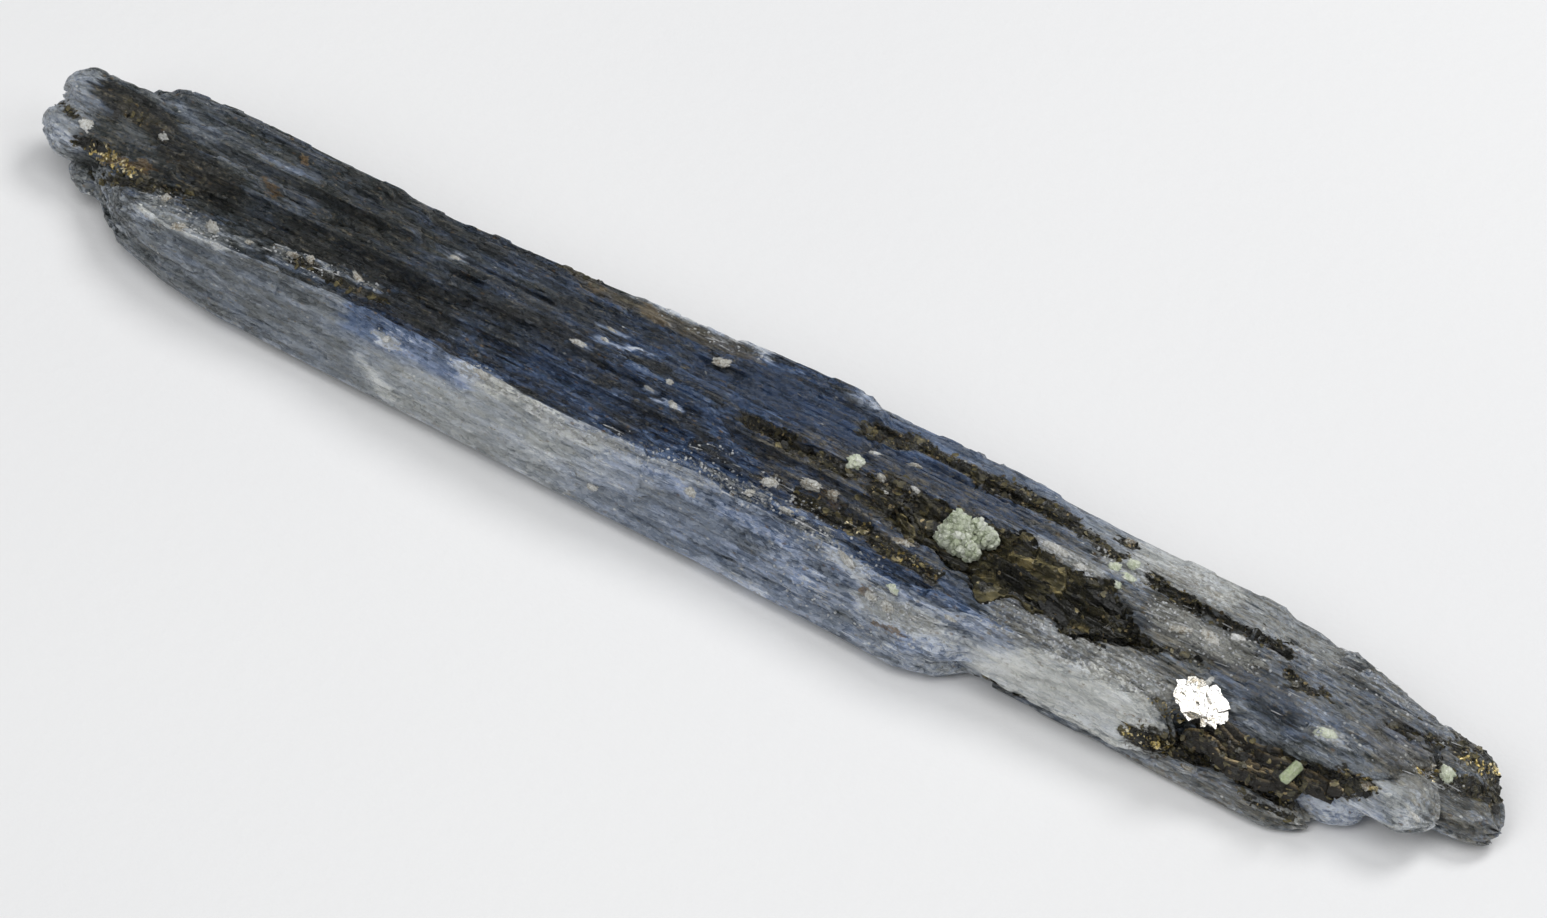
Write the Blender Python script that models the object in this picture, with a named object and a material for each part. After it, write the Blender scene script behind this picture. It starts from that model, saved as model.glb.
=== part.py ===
"""A kyanite crystal: one long blade lying on its flattest face, splintered into parallel blades at both ends.

Sizes are in millimetres, and MM turns them into metres. +X runs along the blade, +Y towards its back
and +Z up. The crystal, with all the blades grown on it, is one solid. Mica, grains and a small prism
of other minerals sit in its hollows, each a solid of its own.
"""

import math
from collections import namedtuple

import bmesh
import bpy
import numpy as np
from mathutils import Matrix, Vector, noise

MM = 0.001
GAP = 0.09  # clear space between the crystal and each mineral that sits in it
CENTRE_SHIFT = (0.355, -0.075)  # brings the middle of the whole crystal's box to x 0 and y 0
GRAIN_DRIFT = -0.065  # the striations turn towards the front by this much for each millimetre along X

# The main blade's cross-section at places along its length. Front toe, ridge and back edge are Y
# positions. The ridge, the back edge and the underside have a height each.
Section = namedtuple("Section", "toe_y ridge_y ridge_z back_y back_z base_z")
MAIN_STATIONS = (
    # x, toe_y, ridge_y, ridge_z, back_y, back_z, base_z
    (-25.0, 0.95, 1.15, 1.35, 2.95, 2.1, 0.55),
    (-24.4, 0.1, 0.6, 1.8, 3.8, 2.5, 0.30),
    (-22.6, -1.2, -0.6, 2.1, 4.15, 2.7, 0.08),
    (-20.3, -1.85, -1.3, 2.4, 4.2, 2.75, 0.0),
    (-17.9, -2.3, -1.5, 2.6, 3.95, 2.75, 0.0),
    (-13.4, -2.6, -1.5, 2.8, 3.7, 2.75, 0.0),
    (-9.0, -2.85, -2.0, 2.9, 3.7, 2.75, 0.0),
    (-4.0, -3.2, -2.5, 3.0, 3.7, 2.75, 0.0),
    (1.0, -3.45, -2.4, 3.0, 3.55, 2.75, 0.0),
    (5.8, -3.8, -2.75, 3.0, 3.4, 2.8, 0.0),
    (8.6, -4.05, -3.1, 2.9, 3.35, 2.75, 0.0),
    (9.8, -3.8, -3.2, 2.8, 3.2, 2.75, 0.0),
    (10.6, -3.1, -3.0, 2.75, 3.05, 2.75, 0.0),
    (13.0, -3.0, -2.9, 2.7, 2.9, 2.65, 0.0),
    (16.4, -2.9, -2.8, 2.5, 2.75, 2.6, 0.05),
    (17.6, -2.1, -2.1, 2.45, 2.8, 2.5, 0.12),
    (19.4, -1.9, -1.9, 2.4, 2.7, 2.35, 0.2),
    (21.2, -2.0, -2.3, 2.2, 2.2, 2.2, 0.25),
    (22.6, -2.0, -2.4, 2.1, 1.8, 2.05, 0.3),
    (23.8, -1.4, -1.7, 1.95, 1.5, 1.9, 0.4),
    (24.5, -0.8, -1.0, 1.75, 1.0, 1.75, 0.6),
)
CREST_RISE = 0.32  # how far the fold along the top stands over the line from ridge to back edge
CREST_SHARE = 0.45  # where the fold lies, as a share of the way from the ridge to the back edge
TOE_BEVEL = 0.4  # the worn edge along the front toe
BACK_LEAN = 0.85  # how far the back face leans in under the back edge
BACK_TOE_HEIGHT = 0.5

# The top is split along the grain into cleavage lamellae. Lamella 0 starts at the striation through
# the origin, and each has a height of its own that changes in long flat steps.
LAMELLA_WIDTH = 0.42
LAMELLA_RISE = 0.3
LAMELLA_LENGTH = 9.0
LAMELLA_EDGE = 0.04
FIRST_LAMELLA, LAST_LAMELLA = -8, 10
FACE_STRIP_RISE = 0.2
FRONT_STRIPS, BACK_STRIPS = 4, 3

# Groups of lamellae that stand over or under their neighbours.
LEDGE_END = 0.8
LEDGE_JAG = 1.6
LEDGES = (
    # x from, x to, first lamella, last lamella, rise
    (4.0, 20.5, 6, 20, -0.34),
    (-14.0, -1.5, 4, 20, -0.2),
    (0.2, 4.9, 3, 4, 0.14),
    (5.2, 10.6, 4, 5, -0.14),
    (-9.5, 0.3, -2, 0, 0.18),
    (-8.0, -0.4, -6, -4, -0.16),
    (2.2, 9.4, -20, -6, -0.2),
    (-23.4, -13.0, 2, 5, 0.2),
    (-21.5, -12.0, -4, -2, -0.24),
    (-18.5, -9.5, -20, -7, 0.12),
    (18.6, 24.8, -3, 4, 0.2),
    (19.0, 24.8, 5, 20, -0.2),
    (12.4, 17.2, 1, 3, 0.12),
)

# Hollows in the top, as long ovals: middle along X, middle across the grain, half length, half width, depth.
HOLLOW_RIM = 0.3
MICA_HOLLOW = (11.0, -0.15, 4.7, 1.3, 0.75)
PITS = (
    MICA_HOLLOW,
    (17.0, 1.75, 1.9, 0.3, 0.5),
    (1.9, 0.25, 1.5, 0.3, 0.32),
    (4.6, -1.25, 2.1, 0.36, 0.36),
    (-23.6, 0.4, 1.3, 0.55, 0.8),
    (-16.6, 0.1, 2.2, 0.34, 0.3),
    (-11.2, -0.75, 1.6, 0.3, 0.28),
    (7.6, 2.45, 2.4, 0.26, 0.3),
    (20.6, -0.15, 0.9, 0.2, 0.3),
    (17.9, -1.2, 0.7, 0.75, 0.5),
)

# Long dents and swells of the front face: x from, x to, height share from and to, how far they go in.
FACE_DENTS = (
    (-20.0, -9.0, 0.55, 0.8, 0.14),
    (-12.5, -6.0, 0.2, 0.45, -0.1),
    (-7.0, 3.0, 0.62, 0.86, 0.16),
    (-3.0, 7.0, 0.25, 0.5, 0.1),
    (3.5, 9.4, 0.6, 0.85, 0.14),
)

# Blades grown along the main one. Each is a bar with bevelled long edges and one free, broken tip.
BLADES = {
    # tail_x, tip_x, front_y, back_y, low_z, high_z, tip length
    "top_left_lobe": (-17.5, -27.8, 2.1, 3.6, 1.3, 2.9, 1.1),
    "front_left_lobe": (-18.0, -27.85, 0.95, 2.6, 0.75, 2.35, 1.1),
    "low_left_lobe": (-18.0, -26.4, 0.3, 2.9, 0.33, 1.2, 1.2),
    "back_left_lobe": (-18.5, -26.3, 2.6, 3.75, 0.4, 1.6, 0.9),
    "pale_front_blade": (6.5, 17.6, -3.62, -2.45, 0.55, 2.58, 2.0),
    "low_front_blade": (11.5, 22.1, -3.72, -2.2, 0.04, 0.95, 1.7),
    "violet_blade": (14.5, 23.5, -2.85, -1.1, 0.22, 1.3, 1.4),
    "pale_tip_blade": (17.0, 25.5, -2.5, -0.85, 0.85, 2.05, 1.0),
    "high_tip": (19.0, 26.45, -0.75, 1.2, 0.75, 1.95, 0.6),
    "middle_tip": (18.5, 27.0, -1.5, 0.4, 0.35, 1.45, 0.7),
    "low_tip": (17.5, 27.15, -1.5, -0.4, 0.25, 0.85, 2.2),
    "back_tip": (17.0, 26.2, 0.2, 1.6, 0.2, 1.35, 0.6),
}
BLADE_BEVEL = 0.2  # share of a blade's smaller side that its bevelled edges take
BLADE_LEAN = 0.22  # how far a blade's top leans back over its foot, for each millimetre of height
TIP_PROFILE = ((0.0, 1.0), (0.35, 0.96), (0.7, 0.82), (0.93, 0.6), (1.0, 0.4))  # way along a tip, size
TIP_JAG = 0.35  # how far the points of a broken tip stand out of line, as a share of its length

MAIN_RING_COUNT = 66
MAIN_END_LENGTHS = (0.25, 0.3)  # how far the two broken ends stand out past the first and last section
FACE_BULGE = 0.13
BASE_COUNT = 2

# The minerals in the hollows.
MICA_GRID = (24, 8)
MICA_REACH = 0.88  # how much of the hollow's width and length the crust takes
MICA_PLATE = (0.75, 0.5)
MICA_PLATE_DROP = 0.28
MICA_THINNEST = 0.1
BRONZE_STATIONS = (
    # x, front_y, back_y, low_z, front_z, back_z
    (17.95, -2.75, -2.3, 1.5, 1.7, 1.85),
    (18.7, -3.0, -2.2, 1.46, 1.62, 2.0),
    (19.7, -3.0, -2.2, 1.46, 1.75, 1.95),
    (20.6, -3.0, -2.46, 1.46, 1.6, 1.85),
    (21.4, -3.05, -2.64, 1.46, 1.68, 1.75),
    (22.2, -3.0, -2.66, 1.46, 1.6, 1.7),
    (22.9, -2.94, -2.72, 1.46, 1.58, 1.64),
)
BRONZE_STEP = 0.12
GREEN_CLUSTER_AT = (9.1, -0.6)
GREEN_CLUSTER_SIZE = (1.15, 0.75, 0.65)
SILVER_FLAKE_AT = (17.95, -2.38, 2.63)
SILVER_FLAKE_SIZE = 0.88
SILVER_FLAKE_THICKNESS = 0.14
SILVER_FLAKE_TILT = (5.0, 10.0)  # degrees about X, then about Y
PRISM_AT = (21.35, -2.96, 2.08)
PRISM_SIZE = (0.62, 0.22)
PRISM_TURN = 62.0

COLOURS = {
    # base colour, roughness, metallic
    "kyanite_crystal": ((0.13, 0.17, 0.25), 0.45, 0.0),
    "dark_mica_crust": ((0.035, 0.03, 0.018), 0.35, 0.1),
    "bronze_mica": ((0.12, 0.085, 0.045), 0.3, 0.3),
    "silver_mica_flake": ((0.85, 0.83, 0.78), 0.12, 0.8),
    "green_grain_cluster": ((0.42, 0.52, 0.4), 0.3, 0.0),
    "pale_green_prism": ((0.5, 0.56, 0.34), 0.25, 0.0),
}


def smooth_step(low, high, value):
    """0 under low, 1 over high, and a smooth ramp between."""
    share = min(max((value - low) / (high - low), 0.0), 1.0)
    return share * share * (3.0 - 2.0 * share)


def window(start, end, ramp, value):
    """1 between start and end, falling to 0 over a ramp outside each."""
    return smooth_step(start - ramp, start, value) * (1.0 - smooth_step(end, end + ramp, value))


def main_values(x):
    """The main blade's cross-section at x."""
    columns = list(zip(*MAIN_STATIONS))
    return Section(*(float(np.interp(x, columns[0], column)) for column in columns[1:]))


def across_grain(x, y):
    """The Y that the striation through a point has where x is 0."""
    return y - GRAIN_DRIFT * x


def chance(a, b, c):
    """A number from 0 to 1 that is always the same for the same three whole numbers."""
    return 0.5 + 0.5 * noise.cell((a + 0.5, b + 0.5, c + 0.5))


def strip_height(x, strip, kind):
    """One strip's own height, from -0.5 to 0.5, in long flat steps with short ramps."""
    place = x / LAMELLA_LENGTH + 9.0 * chance(strip, kind, 7)
    step = math.floor(place)
    here, after = chance(step, strip, kind), chance(step + 1, strip, kind)
    return here + (after - here) * smooth_step(0.92, 1.0, place - step) - 0.5


def hollow_swell(x):
    """How much wider or narrower a hollow is at x than a plain oval."""
    return 1.0 + 0.2 * math.sin(1.9 * x + 0.6) + 0.12 * math.sin(4.3 * x)


def pit_depth(x, y):
    deepest = 0.0
    for mid_x, mid_across, half_length, half_width, depth in PITS:
        across = (across_grain(x, y) - mid_across) / (half_width * hollow_swell(x))
        away = math.hypot((x - mid_x) / half_length, across)
        deepest = max(deepest, depth * (1.0 - smooth_step(1.0 - HOLLOW_RIM, 1.0, away)))
    return deepest


def whole_height(x, y):
    """The height of the main blade's top, with its fold and its lamellae but not its hollows."""
    at = main_values(x)
    share = (y - at.ridge_y) / (at.back_y - at.ridge_y)
    fold = min(share / CREST_SHARE, (1.0 - share) / (1.0 - CREST_SHARE))
    lamella = math.floor(across_grain(x, y) / LAMELLA_WIDTH)
    height = at.ridge_z + (at.back_z - at.ridge_z) * share + CREST_RISE * max(fold, 0.0)
    height += LAMELLA_RISE * strip_height(x, lamella, 1)
    jag = LEDGE_JAG * (chance(lamella, 3, 5) - 0.5)
    for x_from, x_to, first, last, rise in LEDGES:
        if first <= lamella <= last:
            height += rise * window(x_from, x_to, LEDGE_END, x + jag)
    return height


def top_height(x, y):
    """The height of the main blade's top, with its hollows."""
    at = main_values(x)
    from_edge = min(y - at.ridge_y, at.back_y - y)
    return whole_height(x, y) - pit_depth(x, y) * smooth_step(0.0, 0.35, from_edge)


def clear_height(x, y):
    """The lowest height at which a mineral clears the crystal's top around a point."""
    return GAP + max(top_height(x + dx, y + dy) for dx in (-0.4, 0.0, 0.4) for dy in (-0.2, 0.0, 0.2))


def crust_top(x, y):
    """The height of the dark mica's plates."""
    across = across_grain(x, y) - MICA_HOLLOW[1]
    plate = chance(math.floor(x / MICA_PLATE[0] + 0.4 * across), math.floor(across / MICA_PLATE[1]), 4)
    return max(whole_height(x, y) - GAP - MICA_PLATE_DROP * plate, clear_height(x, y) + MICA_THINNEST)


def front_dent(x, share):
    """How far the front face goes in at a share of the way from toe to ridge."""
    return sum(
        depth * window(x_from, x_to, 1.2, x) * window(low, high, 0.12, share)
        for x_from, x_to, low, high, depth in FACE_DENTS
    )


def strip_shares(count):
    """Where the two edges of each strip of a face lie, as shares of the face's height."""
    return [(strip, (strip + edge) / count) for strip in range(count) for edge in (0.07, 0.93)]


def fade(share):
    """1 over most of a face, and 0 at its two edges."""
    return smooth_step(0.03, 0.2, min(share, 1.0 - share))


def main_section(x):
    """The main blade's outline at x, as (y, z) points from the back of the underside round the front."""
    toe_y, ridge_y, _, back_y, _, base_z = main_values(x)
    back_toe_y = back_y - BACK_LEAN
    under_from, under_to = back_toe_y - TOE_BEVEL, toe_y + TOE_BEVEL
    if under_from < under_to + 0.4:
        under_from, under_to = back_toe_y - 0.1, toe_y + 0.1
    points = [(under_from + (under_to - under_from) * i / BASE_COUNT, base_z) for i in range(BASE_COUNT + 1)]
    ridge_top = top_height(x, ridge_y)
    toe_z = min(base_z + TOE_BEVEL, ridge_top - 0.3)
    points.append((toe_y, toe_z))
    for strip, share in strip_shares(FRONT_STRIPS):
        y = toe_y + (ridge_y - toe_y) * share - FACE_BULGE * math.sin(math.pi * share)
        y += front_dent(x, share) + FACE_STRIP_RISE * strip_height(x, strip, 2) * fade(share)
        points.append((y, toe_z + (ridge_top - toe_z) * share))
    points.append((ridge_y, ridge_top))
    for lamella in range(FIRST_LAMELLA, LAST_LAMELLA + 1):
        for edge in (LAMELLA_EDGE, LAMELLA_WIDTH - LAMELLA_EDGE):
            y = lamella * LAMELLA_WIDTH + edge + GRAIN_DRIFT * x
            if y < ridge_y + LAMELLA_EDGE:
                y = ridge_y
            if y > back_y - LAMELLA_EDGE:
                y = back_y
            points.append((y, top_height(x, y)))
    edge_z = top_height(x, back_y)
    points.append((back_y, edge_z))
    back_low_z = min(base_z + BACK_TOE_HEIGHT, edge_z - 0.3)
    for strip, share in strip_shares(BACK_STRIPS):
        y = back_y - BACK_LEAN * share + FACE_BULGE * math.sin(math.pi * share)
        y += FACE_STRIP_RISE * strip_height(x, strip, 3) * fade(share)
        points.append((y, edge_z + (back_low_z - edge_z) * share))
    points.append((back_toe_y, back_low_z))
    return points


def finished_mesh(name, mesh):
    """Mesh data in triangles that face outward."""
    bmesh.ops.triangulate(mesh, faces=mesh.faces[:])
    bmesh.ops.recalc_face_normals(mesh, faces=mesh.faces[:])
    data = bpy.data.meshes.new(name)
    mesh.to_mesh(data)
    mesh.free()
    return data


def ring_mesh(name, rings, first_tip, last_tip):
    """A closed mesh through rings of points, each end closed to a tip point."""
    mesh = bmesh.new()
    loops = [[mesh.verts.new(Vector(p) * MM) for p in ring] for ring in rings]
    count = len(loops[0])
    for near, far in zip(loops, loops[1:]):
        for i in range(count):
            mesh.faces.new((near[i], near[(i + 1) % count], far[(i + 1) % count], far[i]))
    for loop, tip in ((loops[0], first_tip), (loops[-1], last_tip)):
        tip_vertex = mesh.verts.new(Vector(tip) * MM)
        for i in range(count):
            mesh.faces.new((loop[i], loop[(i + 1) % count], tip_vertex))
    bmesh.ops.remove_doubles(mesh, verts=mesh.verts[:], dist=0.001 * MM)
    return finished_mesh(name, mesh)


def add_object(name, data):
    """An object for mesh data, shifted so that the whole crystal is centred."""
    data.transform(Matrix.Translation((CENTRE_SHIFT[0] * MM, CENTRE_SHIFT[1] * MM, 0.0)))
    made = bpy.data.objects.new(name, data)
    bpy.context.scene.collection.objects.link(made)
    return made


def main_blade():
    first_x, last_x = MAIN_STATIONS[0][0], MAIN_STATIONS[-1][0]
    middle, half = (first_x + last_x) / 2, (last_x - first_x) / 2
    rings = []
    for step in range(MAIN_RING_COUNT):
        even = -1.0 + 2.0 * step / (MAIN_RING_COUNT - 1)
        share = 0.55 * even + 0.45 * math.sin(even * math.pi / 2)
        x = middle + half * share
        rings.append([(x, y, z) for y, z in main_section(x)])
    first_tip, last_tip = np.mean(rings[0], axis=0), np.mean(rings[-1], axis=0)
    first_tip[0] -= MAIN_END_LENGTHS[0]
    last_tip[0] += MAIN_END_LENGTHS[1]
    return ring_mesh("main_blade", rings, first_tip, last_tip)


def blade_section(width, height, lean):
    """A bar's outline about its middle: a box with bevelled corners whose top leans back."""
    bevel = BLADE_BEVEL * min(width, height)
    half_y, half_z = width / 2, height / 2
    corners = (
        (half_y - bevel, -half_z),
        (0.0, -half_z),
        (-half_y + bevel, -half_z),
        (-half_y, -half_z + bevel),
        (-half_y, 0.1 * half_z),
        (-half_y, half_z - bevel),
        (-half_y + bevel, half_z),
        (-0.25 * half_y, half_z * 1.06),
        (0.3 * half_y, half_z * 0.96),
        (half_y - bevel, half_z),
        (half_y, half_z - bevel),
        (half_y, -half_z + bevel),
    )
    return [(y + lean * z, z) for y, z in corners]


def grown_blade(name, tail_x, tip_x, front_y, back_y, low_z, high_z, tip_length):
    """A bar from tail_x to tip_x, along the grain, that ends in a broken tip. Its Y values are at the tip."""
    way = math.copysign(1.0, tip_x - tail_x)
    middle_y, middle_z = (front_y + back_y) / 2, (low_z + high_z) / 2
    seed = int(10 * abs(tip_x + 3 * high_z))
    rings = []
    for along, size in ((None, 1.0), *TIP_PROFILE):
        x = tail_x if along is None else tip_x - way * tip_length * (1.0 - along)
        outline = blade_section((back_y - front_y) * size, (high_z - low_z) * size, BLADE_LEAN)
        sink = (1.0 - size) * 0.3 * (high_z - low_z)
        ring = []
        for i, (y, z) in enumerate(outline):
            jag = TIP_JAG * tip_length * chance(seed, i // 2, 0) * (along or 0.0)
            drift = GRAIN_DRIFT * (x - tip_x)
            ring.append((x - way * jag, middle_y + drift + y, max(middle_z - sink + z, low_z)))
        rings.append(ring)
    tip = np.mean(rings[-1], axis=0)
    return ring_mesh(name, rings, np.mean(rings[0], axis=0), tip)


def join(target, others):
    """Boolean unions that make the blades and the main blade one solid."""
    for other in others:
        other.hide_render = True
        other.display_type = "WIRE"
        union = target.modifiers.new(other.name, "BOOLEAN")
        union.operation = "UNION"
        union.object = other


def mica_crust(name, hollow, reach):
    """A crust in an oval hollow: its underside follows the floor, and its top is in flat plates."""
    mid_x, mid_across, half_length, half_width, _ = hollow
    columns, rows = MICA_GRID
    mesh = bmesh.new()
    low, high = [], []
    for i in range(columns):
        along = -1.0 + 2.0 * i / (columns - 1)
        x = mid_x + along * half_length * reach
        half = half_width * hollow_swell(x) * reach * math.sqrt(max(1.0 - (along * 0.98) ** 2, 0.0))
        low_line, high_line = [], []
        for j in range(rows):
            across = half * (-1.0 + 2.0 * j / (rows - 1))
            y = mid_across + across + GRAIN_DRIFT * x
            low_line.append(mesh.verts.new(Vector((x, y, clear_height(x, y))) * MM))
            high_line.append(mesh.verts.new(Vector((x, y, crust_top(x, y))) * MM))
        low.append(low_line)
        high.append(high_line)
    for i in range(columns - 1):
        for j in range(rows - 1):
            mesh.faces.new((low[i][j], low[i][j + 1], low[i + 1][j + 1], low[i + 1][j]))
            mesh.faces.new((high[i][j], high[i + 1][j], high[i + 1][j + 1], high[i][j + 1]))
    rim = [(i, 0) for i in range(columns)] + [(columns - 1, j) for j in range(1, rows)]
    rim += [(i, rows - 1) for i in range(columns - 2, -1, -1)] + [(0, j) for j in range(rows - 2, 0, -1)]
    for (i, j), (k, m) in zip(rim, rim[1:] + rim[:1]):
        mesh.faces.new((low[i][j], low[k][m], high[k][m], high[i][j]))
    return add_object(name, finished_mesh(name, mesh))


def bronze_mica():
    """A stack of mica sheets on the low blades, stepped down from the main blade's broken front."""
    rings = []
    for x, front_y, back_y, low_z, front_z, back_z in BRONZE_STATIONS:
        ring = [(x, back_y, low_z), (x, front_y, low_z)]
        for step in range(4):
            for edge in (0.0, 0.8):
                share = (step + edge) / 3.8
                z = front_z + (back_z - front_z) * share + BRONZE_STEP * (step % 2)
                ring.append((x, front_y + (back_y - front_y) * share, z))
        rings.append(ring)
    data = ring_mesh("bronze_mica", rings, np.mean(rings[0], axis=0), np.mean(rings[-1], axis=0))
    return add_object("bronze_mica", data)


def grain_lump(way):
    """How far the grains of the cluster stand out in a direction, from 0.6 to 1."""
    return 1.0 - 0.4 * min(noise.voronoi(way * 2.6)[0][0], 1.0)


def green_grain_cluster():
    """A lumpy cluster of sugary grains that lies on the dark mica."""
    mesh = bmesh.new()
    bmesh.ops.create_icosphere(mesh, subdivisions=4, radius=1.0)
    for vertex in mesh.verts:
        way = vertex.co.normalized()
        level = Vector((way.x, way.y, 0.0))
        reach = grain_lump(level.normalized()) if level.length > 0.0 else 1.0
        x = GREEN_CLUSTER_AT[0] + way.x * reach * GREEN_CLUSTER_SIZE[0]
        y = GREEN_CLUSTER_AT[1] + way.y * reach * GREEN_CLUSTER_SIZE[1] + 0.3 * way.x
        floor = GAP + max(crust_top(x + dx, y + dy) for dx in (-0.3, 0.0, 0.3) for dy in (-0.2, 0.0, 0.2))
        rise = max(way.z, 0.0) * grain_lump(way) * GREEN_CLUSTER_SIZE[2]
        vertex.co = Vector((x, y, floor + rise)) * MM
    return add_object("green_grain_cluster", finished_mesh("green_grain_cluster", mesh))


def silver_mica_flake():
    """A ragged mica plate with six rough sides, tilted a little."""
    mesh = bmesh.new()
    corner_count = 18
    outline = []
    for i in range(corner_count):
        angle = 2 * math.pi * i / corner_count
        radius = SILVER_FLAKE_SIZE * (0.93 + 0.12 * math.cos(3 * angle) + 0.07 * math.sin(7 * angle + 1.0))
        outline.append(mesh.verts.new((radius * math.cos(angle), radius * 0.86 * math.sin(angle), 0.0)))
    face = mesh.faces.new(outline)
    raised = bmesh.ops.extrude_face_region(mesh, geom=[face])
    for item in raised["geom"]:
        if isinstance(item, bmesh.types.BMVert):
            item.co.z += SILVER_FLAKE_THICKNESS
    tilt = Matrix.Rotation(math.radians(SILVER_FLAKE_TILT[1]), 4, "Y")
    tilt @= Matrix.Rotation(math.radians(SILVER_FLAKE_TILT[0]), 4, "X")
    mesh.transform(Matrix.Scale(MM, 4) @ Matrix.Translation(SILVER_FLAKE_AT) @ tilt)
    return add_object("silver_mica_flake", finished_mesh("silver_mica_flake", mesh))


def pale_green_prism():
    """A six-sided prism with short pointed ends, lying on the bronze mica."""
    half_length, radius = PRISM_SIZE
    profile = ((-1.0, 0.35), (-0.8, 1.0), (0.8, 1.0), (1.0, 0.35))
    rings = []
    for along, size in profile:
        ring = []
        for i in range(6):
            angle = math.pi * i / 3
            corner = radius * size
            ring.append((along * half_length, corner * math.cos(angle), corner * math.sin(angle)))
        rings.append(ring)
    data = ring_mesh("pale_green_prism", rings, np.mean(rings[0], axis=0), np.mean(rings[-1], axis=0))
    data.transform(Matrix.Rotation(math.radians(PRISM_TURN), 4, "Z"))
    data.transform(Matrix.Translation(Vector(PRISM_AT) * MM))
    return add_object("pale_green_prism", data)


def finish(made):
    """The piece's own material and flat crystal shading."""
    colour, roughness, metallic = COLOURS[made.name]
    material = bpy.data.materials.new(made.name)
    material.use_nodes = True
    shader = material.node_tree.nodes["Principled BSDF"]
    shader.inputs["Base Color"].default_value = (*colour, 1.0)
    shader.inputs["Roughness"].default_value = roughness
    shader.inputs["Metallic"].default_value = metallic
    material.diffuse_color = (*colour, 1.0)
    made.data.materials.append(material)


def build():
    for old in list(bpy.data.objects):
        bpy.data.objects.remove(old)
    crystal = add_object("kyanite_crystal", main_blade())
    blades = [add_object(name, grown_blade(name, *sizes)) for name, sizes in BLADES.items()]
    join(crystal, blades)
    pieces = [
        crystal,
        mica_crust("dark_mica_crust", MICA_HOLLOW, MICA_REACH),
        bronze_mica(),
        green_grain_cluster(),
        silver_mica_flake(),
        pale_green_prism(),
    ]
    for piece in pieces:
        finish(piece)


build()
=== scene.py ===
"""The finish of a kyanite crystal: a fibrous blue blade with smaller blades, mica, grains and a flake.

Sizes are in millimetres, and MM turns them into metres. +X runs along the blade, +Y towards its back and
+Z up. The masks that colour the crystal are placed by the photograph's pixels, seen from its camera.
"""

import math
from collections import namedtuple

import bmesh
import bpy
import numpy as np
from mathutils import Euler, Matrix, Vector, noise
from mathutils.bvhtree import BVHTree


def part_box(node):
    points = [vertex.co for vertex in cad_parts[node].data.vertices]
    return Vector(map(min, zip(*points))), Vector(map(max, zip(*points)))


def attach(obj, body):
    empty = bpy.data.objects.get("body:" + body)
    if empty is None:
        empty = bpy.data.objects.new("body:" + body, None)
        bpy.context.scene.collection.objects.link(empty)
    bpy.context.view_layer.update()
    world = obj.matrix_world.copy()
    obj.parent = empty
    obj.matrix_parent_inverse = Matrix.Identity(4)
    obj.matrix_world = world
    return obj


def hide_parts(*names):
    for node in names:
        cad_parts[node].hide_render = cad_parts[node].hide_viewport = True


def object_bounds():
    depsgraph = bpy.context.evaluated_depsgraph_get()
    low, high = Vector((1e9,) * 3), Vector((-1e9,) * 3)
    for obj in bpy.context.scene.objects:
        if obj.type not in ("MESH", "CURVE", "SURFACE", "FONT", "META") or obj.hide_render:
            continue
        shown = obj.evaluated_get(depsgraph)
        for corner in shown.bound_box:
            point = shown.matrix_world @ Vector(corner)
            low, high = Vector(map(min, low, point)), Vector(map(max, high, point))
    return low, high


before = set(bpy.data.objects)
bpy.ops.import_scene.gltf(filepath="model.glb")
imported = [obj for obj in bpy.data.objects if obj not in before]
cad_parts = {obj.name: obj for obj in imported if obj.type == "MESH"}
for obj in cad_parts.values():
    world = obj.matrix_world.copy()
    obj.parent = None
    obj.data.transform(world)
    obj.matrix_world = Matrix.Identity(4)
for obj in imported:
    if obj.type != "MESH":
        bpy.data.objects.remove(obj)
CAD_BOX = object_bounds()

MM = 0.001
PICTURE = (1547, 918)  # the photograph's width and height in pixels

# The camera that the photograph was taken from.
CAMERA_AZIMUTH, CAMERA_ELEVATION = math.radians(32.078), math.radians(44.0)
CAMERA_DISTANCE = 155.0
CAMERA_AIM = np.array((2.014, 0.299, 1.8))
CAMERA_LENS, CAMERA_SENSOR = 117.347, 36.0

CENTRE_SHIFT = np.array((0.355, -0.075, 0.0))  # from the section's own place to the frame's
GRAIN_DRIFT = -0.065  # the striations turn towards the front by this much for each millimetre along X

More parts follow.
